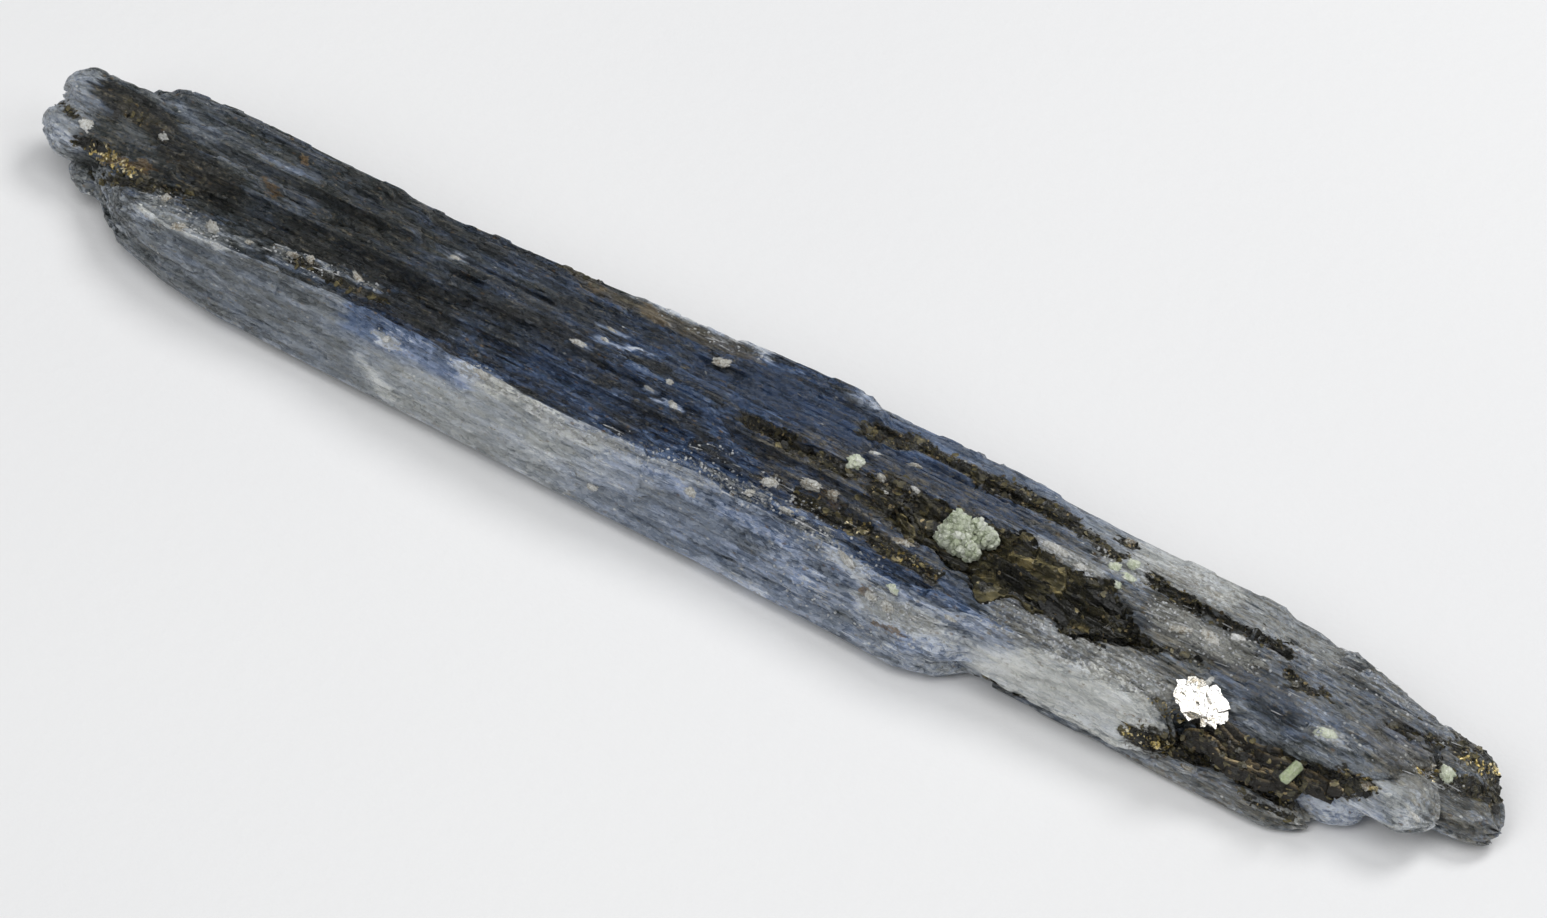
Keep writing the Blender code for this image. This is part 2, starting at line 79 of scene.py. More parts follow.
# The main blade's cross-section at places along its length.
Section = namedtuple("Section", "toe_y ridge_y ridge_z back_y back_z base_z")
MAIN_STATIONS = np.array((
    # x, toe_y, ridge_y, ridge_z, back_y, back_z, base_z
    (-25.0, 0.95, 1.15, 1.35, 2.95, 2.1, 0.55),
    (-24.4, 0.1, 0.6, 1.8, 3.8, 2.5, 0.30),
    (-22.6, -1.2, -0.6, 2.1, 4.15, 2.7, 0.08),
    (-20.3, -1.85, -1.3, 2.4, 4.2, 2.75, 0.0),
    (-17.9, -2.3, -1.5, 2.6, 3.95, 2.75, 0.0),
    (-13.4, -2.6, -1.5, 2.8, 3.7, 2.75, 0.0),
    (-9.0, -2.85, -2.0, 2.9, 3.7, 2.75, 0.0),
    (-4.0, -3.2, -2.5, 3.0, 3.7, 2.75, 0.0),
    (1.0, -3.45, -2.4, 3.0, 3.55, 2.75, 0.0),
    (5.8, -3.8, -2.75, 3.0, 3.4, 2.8, 0.0),
    (8.6, -4.05, -3.1, 2.9, 3.35, 2.75, 0.0),
    (9.8, -3.8, -3.2, 2.8, 3.2, 2.75, 0.0),
    (10.6, -3.1, -3.0, 2.75, 3.05, 2.75, 0.0),
    (13.0, -3.0, -2.9, 2.7, 2.9, 2.65, 0.0),
    (16.4, -2.9, -2.8, 2.5, 2.75, 2.6, 0.05),
    (17.6, -2.1, -2.1, 2.45, 2.8, 2.5, 0.12),
    (19.4, -1.9, -1.9, 2.4, 2.7, 2.35, 0.2),
    (21.2, -2.0, -2.3, 2.2, 2.2, 2.2, 0.25),
    (22.6, -2.0, -2.4, 2.1, 1.8, 2.05, 0.3),
    (23.8, -1.4, -1.7, 1.95, 1.5, 1.9, 0.4),
    (24.5, -0.8, -1.0, 1.75, 1.0, 1.75, 0.6),
))
CREST_RISE, CREST_SHARE = 0.32, 0.45
TOE_BEVEL = 0.4
BACK_LEAN, BACK_TOE_HEIGHT = 0.85, 0.5
FACE_BULGE = 0.13
LEAST_FACE = 0.3  # the least height of a face
EDGE_MARGIN = 0.03  # no line of the top runs nearer to its edges
# How much the lines of each part of the section belong to the front face.
ON_BASE, ON_FRONT, ON_RIDGE, ON_TOP, ON_BACK, ON_BACK_TOE = 0.5, 1.0, 0.6, 0.0, 0.1, 0.3
# Which random run the heights of each set of strips are from. A face's fine strips have a run of their own.
TOP_RUN, FRONT_RUN, BACK_RUN, FINE_TOP_RUN, RIM_RUN, TONE_RUN = 1, 2, 3, 5, 8, 21
FINE_FACE_RUNS, BLADE_RUNS, WIDE_BLADE_RUNS = 10, 40, 60

LAMELLA_WIDTH, LAMELLA_RISE, LAMELLA_LENGTH = 0.42, 0.3, 9.0
# How far in from the back edge the lamellae fade, and what is left of them there.
BACK_REACH, BACK_SHARE = 0.8, 0.15
FIRST_LAMELLA, LAST_LAMELLA = -8, 10
FACE_STRIP_RISE = 0.2
FRONT_STRIPS, BACK_STRIPS = 4, 3
LEDGE_END, LEDGE_JAG = 0.45, 1.6
LEDGES = (
    # x from, x to, first lamella, last lamella, rise
    (4.0, 20.5, 6, 20, -0.34),
    (-14.0, -1.5, 4, 20, -0.2),
    (0.2, 4.9, 3, 4, 0.14),
    (5.2, 10.6, 4, 5, -0.14),
    (-9.5, 0.3, -2, 0, 0.18),
    (-8.0, -0.4, -6, -4, -0.16),
    (2.2, 9.4, -20, -6, -0.2),
    (-23.4, -13.0, 2, 5, 0.2),
    (-21.5, -12.0, -4, -2, -0.24),
    (-18.5, -9.5, -20, -7, 0.12),
    (18.6, 24.8, -3, 4, 0.2),
    (19.0, 24.8, 5, 20, -0.2),
    (12.4, 17.2, 1, 3, 0.12),
)
HOLLOW_RIM, RIM_JAG = 0.3, 0.16
MICA_HOLLOW = (11.0, -0.15, 4.7, 1.3, 0.75)
PITS = (
    # middle x, middle across the grain, half length, half width, depth
    MICA_HOLLOW,
    (17.0, 1.75, 1.9, 0.3, 0.5),
    (1.9, 0.25, 1.5, 0.3, 0.32),
    (4.6, -1.25, 2.1, 0.36, 0.36),
    (-23.6, 0.4, 1.3, 0.55, 0.8),
    (-16.6, 0.1, 2.2, 0.34, 0.3),
    (-11.2, -0.75, 1.6, 0.3, 0.28),
    (7.6, 2.45, 2.4, 0.26, 0.3),
    (20.6, -0.15, 0.9, 0.2, 0.3),
    (17.9, -1.2, 0.7, 0.75, 0.5),
)
FACE_DENTS = (
    # x from, x to, height share from and to, depth
    (-20.0, -9.0, 0.55, 0.8, 0.14),
    (-12.5, -6.0, 0.2, 0.45, -0.1),
    (-7.0, 3.0, 0.62, 0.86, 0.16),
    (-3.0, 7.0, 0.25, 0.5, 0.1),
    (3.5, 9.4, 0.6, 0.85, 0.14),
)

# The fine splitting of each lamella: how many strips it holds, how high they stand and how long they run.
FINE_PER_LAMELLA = 4
FINE_WIDTH = LAMELLA_WIDTH / FINE_PER_LAMELLA
FINE_RISE, FINE_LENGTH = 0.055, 1.5
FINE_EDGES = (0.12, 0.88)
FINE_PER_FACE_STRIP = 6
MAIN_RINGS = 470
MAIN_END_SHIFTS = (-0.25, 0.3)
END_JAG, END_REACH, END_RUN = 0.5, 1.0, 31
END_CROWDING = 0.2  # how much closer the rings stand at the ends
BASE_COLUMNS = 8
CHIP_SCALE = (0.95, 4.6, 4.6)  # of the small crystals that the surface is broken into, per millimetre
CHIP_RISE = 0.11
FIBRE_RISE = 0.012
CHALK_RISE, CHALK_GRAINS = 0.03, 0.05
MICA_SINK, MICA_GRAINS = 0.09, 0.03
TONE_LENGTH, TONE_PALE, TONE_BLUE = 4.5, 0.16, 0.25  # how the strips differ in tone
CALM_TONE = 0.7  # how much of that a calm patch takes away
CRYSTAL_SHARP, LUMP_SHARP = 32, 38  # edges steeper than this many degrees stay sharp

Blade = namedtuple("Blade", "tail_x tip_x front_y back_y low_z high_z tip square wear own pale blue")
BLADES = {
    # Own is how far from its tip a blade keeps its own pale and blue.
    "top_left_lobe": Blade(-17.5, -27.8, 2.1, 3.6, 1.3, 2.9, 1.5, 2.5, 0.13, 3.0, 0.72, 0.3),
    "front_left_lobe": Blade(-18.0, -27.85, 0.95, 2.6, 0.75, 2.35, 1.5, 2.5, 0.13, 2.8, 0.74, 0.35),
    "low_left_lobe": Blade(-18.0, -26.4, 0.3, 2.9, 0.33, 1.2, 1.4, 2.8, 0.12, 2.2, 0.55, 0.05),
    "back_left_lobe": Blade(-18.5, -26.3, 2.6, 3.75, 0.4, 1.6, 0.9, 3.2, 0.1, 2.0, 0.36, 0.15),
    "pale_front_blade": Blade(6.5, 17.6, -3.62, -2.45, 0.55, 2.58, 2.0, 3.6, 0.05, 8.5, 0.9, 0.04),
    "low_front_blade": Blade(11.5, 22.1, -3.72, -2.2, 0.04, 0.95, 1.7, 4.2, 0.06, 9.0, 0.66, 0.1),
    "violet_blade": Blade(14.5, 23.5, -2.85, -1.1, 0.22, 1.3, 1.4, 4.2, 0.06, 4.5, 0.86, 0.6),
    "pale_tip_blade": Blade(17.0, 25.5, -2.5, -0.85, 0.85, 2.05, 1.1, 3.4, 0.07, 4.2, 0.78, 0.15),
    "high_tip": Blade(19.0, 26.45, -0.75, 1.2, 0.75, 1.95, 1.2, 2.3, 0.14, 2.5, 0.5, 0.15),
    "middle_tip": Blade(18.5, 27.05, -1.5, 0.4, 0.35, 1.45, 1.2, 2.3, 0.12, 3.0, 0.58, 0.16),
    "low_tip": Blade(17.5, 26.95, -1.42, -0.35, 0.25, 0.85, 1.7, 2.5, 0.08, 6.0, 0.66, 0.14),
    "back_tip": Blade(17.0, 26.2, 0.2, 1.6, 0.2, 1.35, 1.2, 2.4, 0.12, 3.0, 0.5, 0.2),
}
BLADE_LEAN = 0.22
BLADE_POINTS = 64
BLADE_RING_STEP, TIP_RINGS = 0.17, 16
TIP_PROFILE = ((0.0, 1.0), (0.3, 0.96), (0.55, 0.86), (0.78, 0.67), (0.92, 0.44), (1.0, 0.16))
TIP_JAG, TIP_DROOP = 0.24, 0.3
TIP_RELIEF, ROOT_WEAR = 0.25, 0.3  # what is left of the relief at a tip, and of the wear at a root
BLADE_STRIP, WIDE_BLADE_STRIP, JAG_STRIP = 2, 7, 3  # how many points of a ring make one strip
BLADE_STRIP_RISE = 0.05
WIDE_STRIP_RISE = 1.3 * BLADE_STRIP_RISE

# How pale and how blue the main blade is along its length, for its top and its front face. The front's paler
# tone is partly the crystal's own pale zone and partly painted light from the lit paper it faces; the top's
# darker tone is partly painted shade.
TOP_TONES_WITH_PAINTED_SHADE = np.array((
    # x, pale, blue
    (-25.0, 0.3, 0.1),
    (-20.0, 0.24, 0.1),
    (-14.0, 0.14, 0.2),
    (-8.0, 0.16, 0.5),
    (-2.0, 0.24, 0.85),
    (4.0, 0.28, 0.85),
    (9.0, 0.36, 0.5),
    (13.0, 0.5, 0.2),
    (17.0, 0.54, 0.12),
    (22.0, 0.52, 0.12),
    (27.0, 0.5, 0.12),
))
FRONT_TONES_WITH_PAINTED_LIGHT = np.array((
    (-25.0, 0.58, 0.1),
    (-18.0, 0.56, 0.2),
    (-12.5, 0.62, 0.2),
    (-10.0, 0.76, 0.08),
    (-5.0, 0.74, 0.12),
    (-1.5, 0.66, 0.5),
    (3.0, 0.66, 0.65),
    (7.0, 0.68, 0.5),
    (10.0, 0.72, 0.3),
    (14.0, 0.76, 0.15),
    (20.0, 0.62, 0.2),
    (27.0, 0.55, 0.2),
))

# Patches of the crystal's surface, in pixels of the photograph: from u, v to u, v, half width, strength.
PALE_PATCHES = {
    "grey streaks behind the left end": (150, 118, 290, 190, 42, 0.2),
    "black band along the left top": (170, 160, 430, 310, 26, -0.14),
    # Painted shade: much darker in the hole between the left lobes.
    "painted shade in the hole between the lobes": (108, 90, 166, 126, 17, -0.8),
    "dark slope after the lobes": (165, 135, 225, 190, 22, -0.38),
    "chalky ridge": (150, 205, 222, 240, 16, 0.4),
    "spot on the ridge": (240, 240, 255, 244, 8, 0.4),
    "ring on the ridge": (280, 255, 320, 272, 13, 0.35),
    "dash after the ring": (325, 268, 378, 290, 8, 0.4),
    "light blue patch": (362, 312, 415, 328, 15, -0.06),
    "light blue stripes": (378, 322, 460, 368, 16, -0.1),
    "white spot of the front": (380, 338, 392, 342, 8, 0.6),
    "curved pale edge": (362, 362, 388, 396, 8, 0.2),
    "cream patch": (465, 368, 502, 388, 14, 0.4),
    "streak below the cream": (525, 400, 555, 420, 10, 0.3),
    "second streak": (555, 425, 604, 446, 9, 0.3),
    "short dash": (572, 342, 592, 348, 3, 0.6),
    "long dash": (590, 337, 640, 352, 3, 0.5),
    "dash above": (600, 325, 622, 335, 3, 0.5),
    "dash at the edge": (632, 345, 655, 358, 3, 0.4),
    "low dash": (640, 385, 660, 395, 3, 0.6),
    "bright dash": (662, 402, 682, 412, 4, 0.6),
    "mid blue band": (515, 358, 612, 400, 18, 0.16),
    "black band in the blue": (470, 300, 600, 345, 9, -0.12),
    "brown grey band": (430, 250, 565, 290, 11, 0.16),
    "spot in the band": (450, 255, 462, 260, 6, 0.4),
    # Painted highlights: a bright rim along the upper edge, where light from behind catches it, here and
    # further on.
    "painted rim highlight": (640, 290, 765, 350, 13, 0.6),
    "painted rim highlight further on": (862, 396, 920, 416, 11, 0.34),
    "back strip": (880, 420, 1225, 590, 24, 0.2),
    "back strip at the right": (1150, 560, 1340, 652, 26, 0.2),
    "dark panel": (745, 375, 862, 432, 22, 0.03),
    "second dark panel": (900, 460, 1015, 508, 20, -0.01),
    "patch under the grains": (835, 550, 862, 574, 14, 0.3),
    "patch under the lens": (775, 508, 800, 520, 10, 0.25),
    "lump bed": (865, 600, 925, 625, 18, 0.3),
    "root of the pale blade": (925, 635, 1010, 668, 15, 0.2),
    "granular ledge": (1000, 610, 1160, 690, 18, 0.3),
    "grey above the ledge": (1070, 630, 1150, 665, 12, 0.2),
    "white streak": (893, 555, 935, 573, 4, 0.5),
    "white blob": (1040, 545, 1090, 570, 12, 0.4),
    "pale green lumps": (1108, 560, 1145, 580, 12, 0.3),
    "beige patch": (1165, 622, 1240, 655, 20, 0.3),
    "dark blue of the block": (1252, 700, 1300, 738, 11, -0.22),
    "slate front of the block": (1230, 668, 1285, 708, 24, -0.12),
    "green white spot": (1316, 730, 1342, 740, 9, 0.35),
    "grey right end": (1355, 655, 1455, 720, 26, 0.06),
    # Painted shade: darker in the cavity of the right end.
    "dark mica and painted shade in the cavity of the right end": (1440, 785, 1492, 798, 9, -0.35),
    "lump above the cavity": (1470, 742, 1492, 750, 9, 0.12),
    "layer above the cavity": (1468, 768, 1500, 778, 6, 0.12),
    "layer below the cavity": (1440, 808, 1498, 824, 8, 0.1),
    "block": (1240, 645, 1430, 735, 52, 0.04),
    # Painted shade: darker under the silver flake.
    "painted shade under the flake": (1170, 722, 1230, 735, 9, -0.4),
    "pale lower blade": (1225, 765, 1290, 790, 7, 0.22),
    "pale lower tip": (1282, 812, 1306, 824, 12, 0.25),
    "violet tip": (1315, 800, 1368, 812, 16, 0.12),
    "front streak": (700, 560, 760, 590, 8, 0.14),
    "front glow": (540, 440, 640, 480, 22, 0.08),
    # Painted highlight: paler along the speckled edge, where the white specks stand for sparkles.
    "speckled edge with painted sparkle": (610, 440, 760, 500, 13, 0.2),
}
CALM_PATCHES = {
    "navy panel": (748, 378, 862, 432, 27, 1.0),
    "second navy panel": (900, 462, 1015, 508, 20, 0.9),
    "teal band": (590, 310, 745, 385, 14, 0.5),
    "pale side": (330, 345, 505, 430, 45, 1.0),
    "left side": (160, 250, 330, 335, 45, 0.8),
    "left top": (165, 130, 560, 325, 62, 0.5),
    "left lobes": (62, 92, 125, 122, 42, 0.6),
    "middle side": (520, 440, 700, 535, 40, 0.8),
    "right side": (720, 560, 900, 640, 30, 0.4),
    "pale blade": (985, 655, 1120, 715, 25, 0.9),
    "back strip": (900, 420, 1330, 640, 26, 0.7),
    "grey panel": (1110, 605, 1165, 640, 16, 0.8),
    "blade at the right end": (1345, 765, 1432, 795, 15, 0.9),
    "block end": (1228, 665, 1290, 705, 22, 0.8),
    "block": (1250, 690, 1400, 740, 36, 0.45),
}
BLUE_PATCHES = {
    "light blue stripes": (360, 316, 465, 372, 24, 0.9),
    "deep blue": (505, 365, 600, 402, 20, 0.6),
    "blue band": (545, 352, 618, 402, 18, 0.35),
    "blue right of the front": (650, 440, 860, 560, 40, 0.12),
    "navy panel": (745, 375, 870, 440, 28, 0.15),
    "second navy panel": (900, 455, 1065, 530, 22, 0.25),
    "blue streaks below the mica": (870, 560, 1000, 640, 22, 0.3),
    "blue specks": (900, 640, 960, 655, 12, 0.4),
    "violet tip": (1290, 785, 1372, 812, 22, 0.4),
    "blue of the block": (1225, 665, 1330, 745, 26, 0.15),
    "blue specks of the block": (1395, 730, 1420, 756, 12, 0.4),
    "grey beige": (1165, 620, 1240, 655, 20, -0.4),
    "block": (1240, 660, 1420, 740, 46, 0.13),
    # Painted highlight: the rim along the upper edge is made grey, not blue.
    "grey of the painted rim highlight": (625, 290, 765, 352, 16, -0.4),
    "grey of the painted rim highlight further on": (855, 396, 925, 418, 14, -0.3),
}
MICA_PATCHES = {
    "left notch": (78, 141, 106, 152, 8, 1.0),
    "left spot": (62, 106, 76, 116, 7, 0.8),
    "left line": (105, 178, 190, 193, 6, 0.9),
    "left hollow": (120, 106, 152, 124, 9, 0.6),
    "hole of the ring": (294, 262, 312, 266, 6, 1.0),
    "line from the ring": (312, 268, 348, 287, 4, 0.8),
    "line further on": (350, 288, 385, 302, 4, 0.6),
    "upper edge": (568, 268, 600, 284, 5, 0.5),
    "lens": (748, 421, 790, 440, 9, 1.0),
    "lens after it": (786, 446, 815, 455, 6, 0.8),
    "second lens": (815, 458, 850, 473, 9, 1.0),
    "brown granular pit": (800, 500, 862, 530, 11, 0.8),
    "olive back pit": (865, 430, 925, 446, 10, 0.9),
    "seam": (930, 450, 990, 480, 8, 0.9),
    "wide seam": (985, 480, 1065, 516, 11, 1.0),
    "narrow seam": (1060, 515, 1112, 552, 7, 0.8),
    "gold piece of the seam": (1120, 538, 1136, 546, 5, 0.8),
    "seam by the lumps": (1104, 550, 1132, 558, 4, 0.8),
    "olive mica": (1150, 578, 1182, 598, 10, 1.0),
    "left of the hollow": (885, 495, 1000, 560, 28, 0.85),
    "right of the hollow": (1000, 555, 1100, 625, 28, 0.95),
    "tail of the hollow": (1085, 618, 1152, 650, 9, 0.9),
    "line to the flake": (1140, 640, 1200, 662, 6, 0.7),
    "granular brown": (850, 520, 882, 545, 9, 0.9),
    "granular brown strip": (886, 546, 932, 576, 10, 0.9),
    "first black of the block": (1190, 606, 1228, 622, 7, 1.0),
    "second black of the block": (1222, 624, 1262, 637, 7, 1.0),
    "third black of the block": (1265, 638, 1290, 655, 7, 1.0),
    "fourth black of the block": (1290, 675, 1306, 690, 8, 1.0),
    "fifth black of the block": (1318, 688, 1327, 698, 5, 0.9),
    "brown spots of the right end": (1390, 725, 1412, 735, 6, 0.8),
    "brown band of the right end": (1425, 738, 1460, 745, 7, 0.7),
    "brown of the last lump": (1460, 735, 1490, 755, 6, 0.8),
    "bronze of the right end": (1456, 752, 1492, 776, 11, 0.6),
    # Dark mica in the cavity of the right end, its near black also standing for painted shade.
    "dark mica and painted shade in the cavity of the right end": (1442, 772, 1495, 800, 12, 0.9),
    "trench": (1135, 738, 1365, 788, 16, 0.9),
    "between the low blades": (1240, 780, 1292, 805, 7, 0.9),
    "low line": (1250, 800, 1300, 822, 5, 0.8),
    "edge under the pale blade": (980, 678, 1022, 700, 4, 0.7),
}
STAIN_PATCHES = {
    "block": (1200, 615, 1440, 735, 66, 0.27),
    "ledge": (1010, 615, 1180, 690, 30, 0.36),
    "beige patch": (1165, 622, 1245, 662, 24, 0.26),
    "right end": (1390, 745, 1485, 830, 36, 0.36),
    "seams": (800, 470, 1150, 600, 60, 0.27),
    "low blade": (1150, 765, 1300, 820, 22, 0.34),
    "left end": (100, 110, 190, 195, 40, 0.16),
    "left top": (190, 150, 420, 250, 30, 0.08),
    "upper edge": (568, 268, 628, 305, 8, 0.7),
    "seam below the rim": (640, 308, 750, 356, 9, 0.8),
}
RUST_PATCHES = {
    "rusty spot": (266, 182, 278, 195, 8, 0.8),
    "small rusty spot": (302, 158, 310, 165, 5, 0.7),
    "gold of the left end": (98, 158, 150, 167, 6, 1.0),
    "rust below the rim": (642, 308, 657, 317, 7, 0.9),
    "rust of the edge": (590, 284, 603, 292, 6, 0.9),
    "rust after the lens": (785, 445, 803, 453, 6, 0.8),
    "rusty seam": (945, 455, 990, 478, 7, 0.7),
    "rusty wide seam": (1000, 490, 1060, 508, 8, 0.6),
    "rust of the block": (1319, 690, 1328, 698, 4, 0.8),
    "rust of the right end": (1422, 768, 1437, 781, 8, 0.8),
    "rust of the lump bed": (880, 625, 898, 633, 5, 0.8),
    "rust above the lump bed": (858, 586, 872, 598, 6, 0.8),
    "line of the pale blade": (1125, 713, 1150, 727, 3, 0.6),
    "brown pit rust": (822, 492, 838, 512, 8, 0.7),
}
CHALK_PATCHES = {
    "chalky ridge": (158, 200, 225, 242, 16, 0.62),
    "ring": (284, 255, 322, 272, 12, 0.6),
    "dash": (330, 270, 376, 288, 7, 0.7),
    "front spot": (380, 335, 394, 344, 7, 1.0),
    "cream patch": (465, 368, 502, 388, 12, 0.75),
    "streak": (528, 402, 556, 420, 10, 0.8),
    "second streak": (555, 425, 620, 445, 10, 0.8),
    # The speckled patches are partly chalky grains and partly painted sparkle highlights.
    "speckled edge with painted sparkle": (610, 438, 760, 500, 15, 0.5),
    "speckled front with painted sparkle": (700, 455, 830, 525, 24, 0.45),
    "speckled strip with painted sparkle": (800, 530, 872, 570, 18, 0.65),
    "lump bed": (870, 600, 926, 626, 17, 0.9),
    "grey granules": (1000, 612, 1160, 695, 22, 0.7),
    "beige patch": (1160, 615, 1250, 658, 22, 0.95),
    "end of the pale blade": (1150, 690, 1172, 720, 12, 0.5),
    "white blob": (1030, 545, 1090, 572, 12, 0.7),
    "pale green lumps": (1102, 556, 1146, 580, 12, 0.8),
    "green white spot": (1312, 728, 1345, 742, 11, 0.8),
    "granules of the right end": (1410, 760, 1452, 790, 13, 0.8),
    "grey right end": (1345, 655, 1450, 722, 24, 0.4),
    # Painted highlight: whiter along the rim of the upper edge.
    "white of the painted rim highlight": (640, 300, 750, 352, 10, 0.4),
    "front below the mica": (760, 560, 900, 640, 26, 0.35),
    "sparkles of the block": (1230, 660, 1440, 745, 52, 0.08),
}
GOLD_PATCHES = {
    "left end": (96, 152, 132, 167, 9, 1.6),
    "right end": (1462, 758, 1490, 772, 8, 0.8),
    "left of the flake": (1158, 702, 1176, 716, 7, 0.9),
    "below the flake": (1130, 733, 1172, 750, 8, 0.8),
    "between the low blades": (1262, 787, 1284, 798, 6, 0.9),
    "nugget of the trench": (1360, 778, 1376, 791, 7, 0.8),
    "rust of the right end": (1424, 768, 1437, 782, 6, 0.8),
    "granular brown strip": (890, 548, 930, 574, 8, 0.15),
    "granular brown": (850, 520, 882, 545, 8, 0.15),
}
PATCHES = {
    "pale": PALE_PATCHES,
    "calm": CALM_PATCHES,
    "blue": BLUE_PATCHES,
    "mica": MICA_PATCHES,
    "stain": STAIN_PATCHES,
    "rust": RUST_PATCHES,
    "chalk": CHALK_PATCHES,
    "gold": GOLD_PATCHES,
}
PATCH_CORE = 0.45
GRAIN_ANGLE = math.radians(27.5)  # of the striations in the photograph, down from its rows
RAGGED_ALONG, RAGGED_ACROSS = 16.0, 3.0  # how far the fibres shift a patch's outline, in pixels
LOWEST_CHIP = 0.35  # no mica or grain grows lower than this


def smooth_step(low, high, value):
    """0 under low, 1 over high, and a smooth ramp between."""
    share = np.clip((value - low) / (high - low), 0.0, 1.0)
    return share * share * (3.0 - 2.0 * share)


def window(start, end, ramp, value):
    """1 between start and end, falling to 0 over a ramp outside each."""
    return smooth_step(start - ramp, start, value) * (1.0 - smooth_step(end, end + ramp, value))


def main_values(x):
    """The main blade's cross-section at each x."""
    return Section(*(np.interp(x, MAIN_STATIONS[:, 0], column) for column in MAIN_STATIONS[:, 1:].T))


def across_grain(x, y):
    """The Y that the striation through a point has where x is 0."""
    return y - GRAIN_DRIFT * x


def chance(a, b, c):
    """A number from 0 to 1 that is always the same for the same three whole numbers."""
    return 0.5 + 0.5 * noise.cell((a + 0.5, b + 0.5, c + 0.5))


def strip_height(x, strip, kind, length=LAMELLA_LENGTH):
    """One strip's own height at each x, from -0.5 to 0.5, in long flat steps with short ramps."""
    place = x / length + 9.0 * chance(strip, kind, 7)
    step = np.floor(place).astype(int)
    first = step.min()
    steps = np.array([chance(i, strip, kind) for i in range(first, step.max() + 2)])
    here, after = steps[step - first], steps[step - first + 1]
    return here + (after - here) * smooth_step(0.92, 1.0, place - step) - 0.5


def strips_at(x, strip, kind, length=LAMELLA_LENGTH):
    """The height of the strip that each point is on."""
    height = np.zeros(x.shape)
    for each in np.unique(strip):
        here = strip == each
        height[here] = strip_height(x[here], int(each), kind, length)
    return height


def swell_at(x):
    """How much wider than its plan a hollow is at x."""
    return 1.0 + 0.2 * np.sin(1.9 * x + 0.6) + 0.12 * np.sin(4.3 * x)


def pit_depth(x, y):
    """How deep the hollows are, with their rims ragged along the fibres."""
    across = across_grain(x, y)
    ragged = RIM_JAG * strips_at(x, np.floor(across / FINE_WIDTH), RIM_RUN, FINE_LENGTH)
    swell = swell_at(x)
    deepest = np.zeros(x.shape)
    for mid_x, mid_across, half_length, half_width, depth in PITS:
        away = np.hypot((x - mid_x) / half_length, (across - mid_across) / (half_width * swell)) + ragged
        deepest = np.maximum(deepest, depth * (1.0 - smooth_step(1.0 - HOLLOW_RIM, 1.0, away)))
    return deepest


def whole_height(x, y):
    """The height of the main blade's top, with its fold and its lamellae but not its hollows."""
    at = main_values(x)
    share = (y - at.ridge_y) / (at.back_y - at.ridge_y)
    fold = np.minimum(share / CREST_SHARE, (1.0 - share) / (1.0 - CREST_SHARE))
    height = at.ridge_z + (at.back_z - at.ridge_z) * share + CREST_RISE * np.maximum(fold, 0.0)
    across = across_grain(x, y)
    lamella = np.floor(across / LAMELLA_WIDTH)
    inside = BACK_SHARE + (1.0 - BACK_SHARE) * smooth_step(0.0, BACK_REACH, at.back_y - y)
    height += LAMELLA_RISE * inside * strips_at(x, lamella, TOP_RUN)
    height += FINE_RISE * strips_at(x, np.floor(across / FINE_WIDTH), FINE_TOP_RUN, FINE_LENGTH)
    for each in np.unique(lamella):
        here = lamella == each
        jag = LEDGE_JAG * (chance(int(each), 3, 5) - 0.5)
        for x_from, x_to, first, last, rise in LEDGES:
            if first <= each <= last:
                height[here] += rise * window(x_from, x_to, LEDGE_END, x[here] + jag)
    return height


def top_height(x, y):
    """The height of the main blade's top, with its hollows."""
    at = main_values(x)
    from_edge = np.minimum(y - at.ridge_y, at.back_y - y)
    return whole_height(x, y) - pit_depth(x, y) * smooth_step(0.0, 0.35, from_edge)


def face_rows(strips):
    """Each row of a face: its strip, its fine strip and its share of the face's height."""
    for fine in range(strips * FINE_PER_FACE_STRIP):
        for edge in FINE_EDGES:
            yield fine // FINE_PER_FACE_STRIP, fine, (fine + edge) / (strips * FINE_PER_FACE_STRIP)


def face_relief(x, strip, fine, share, run):
    """How far a row of a face stands out at each x: nothing at the face's two edges."""
    fade = smooth_step(0.03, 0.2, min(share, 1.0 - share))
    relief = FACE_STRIP_RISE * strip_height(x, strip, run) * fade
    return relief + FINE_RISE * strip_height(x, fine, run + FINE_FACE_RUNS, FINE_LENGTH) * fade


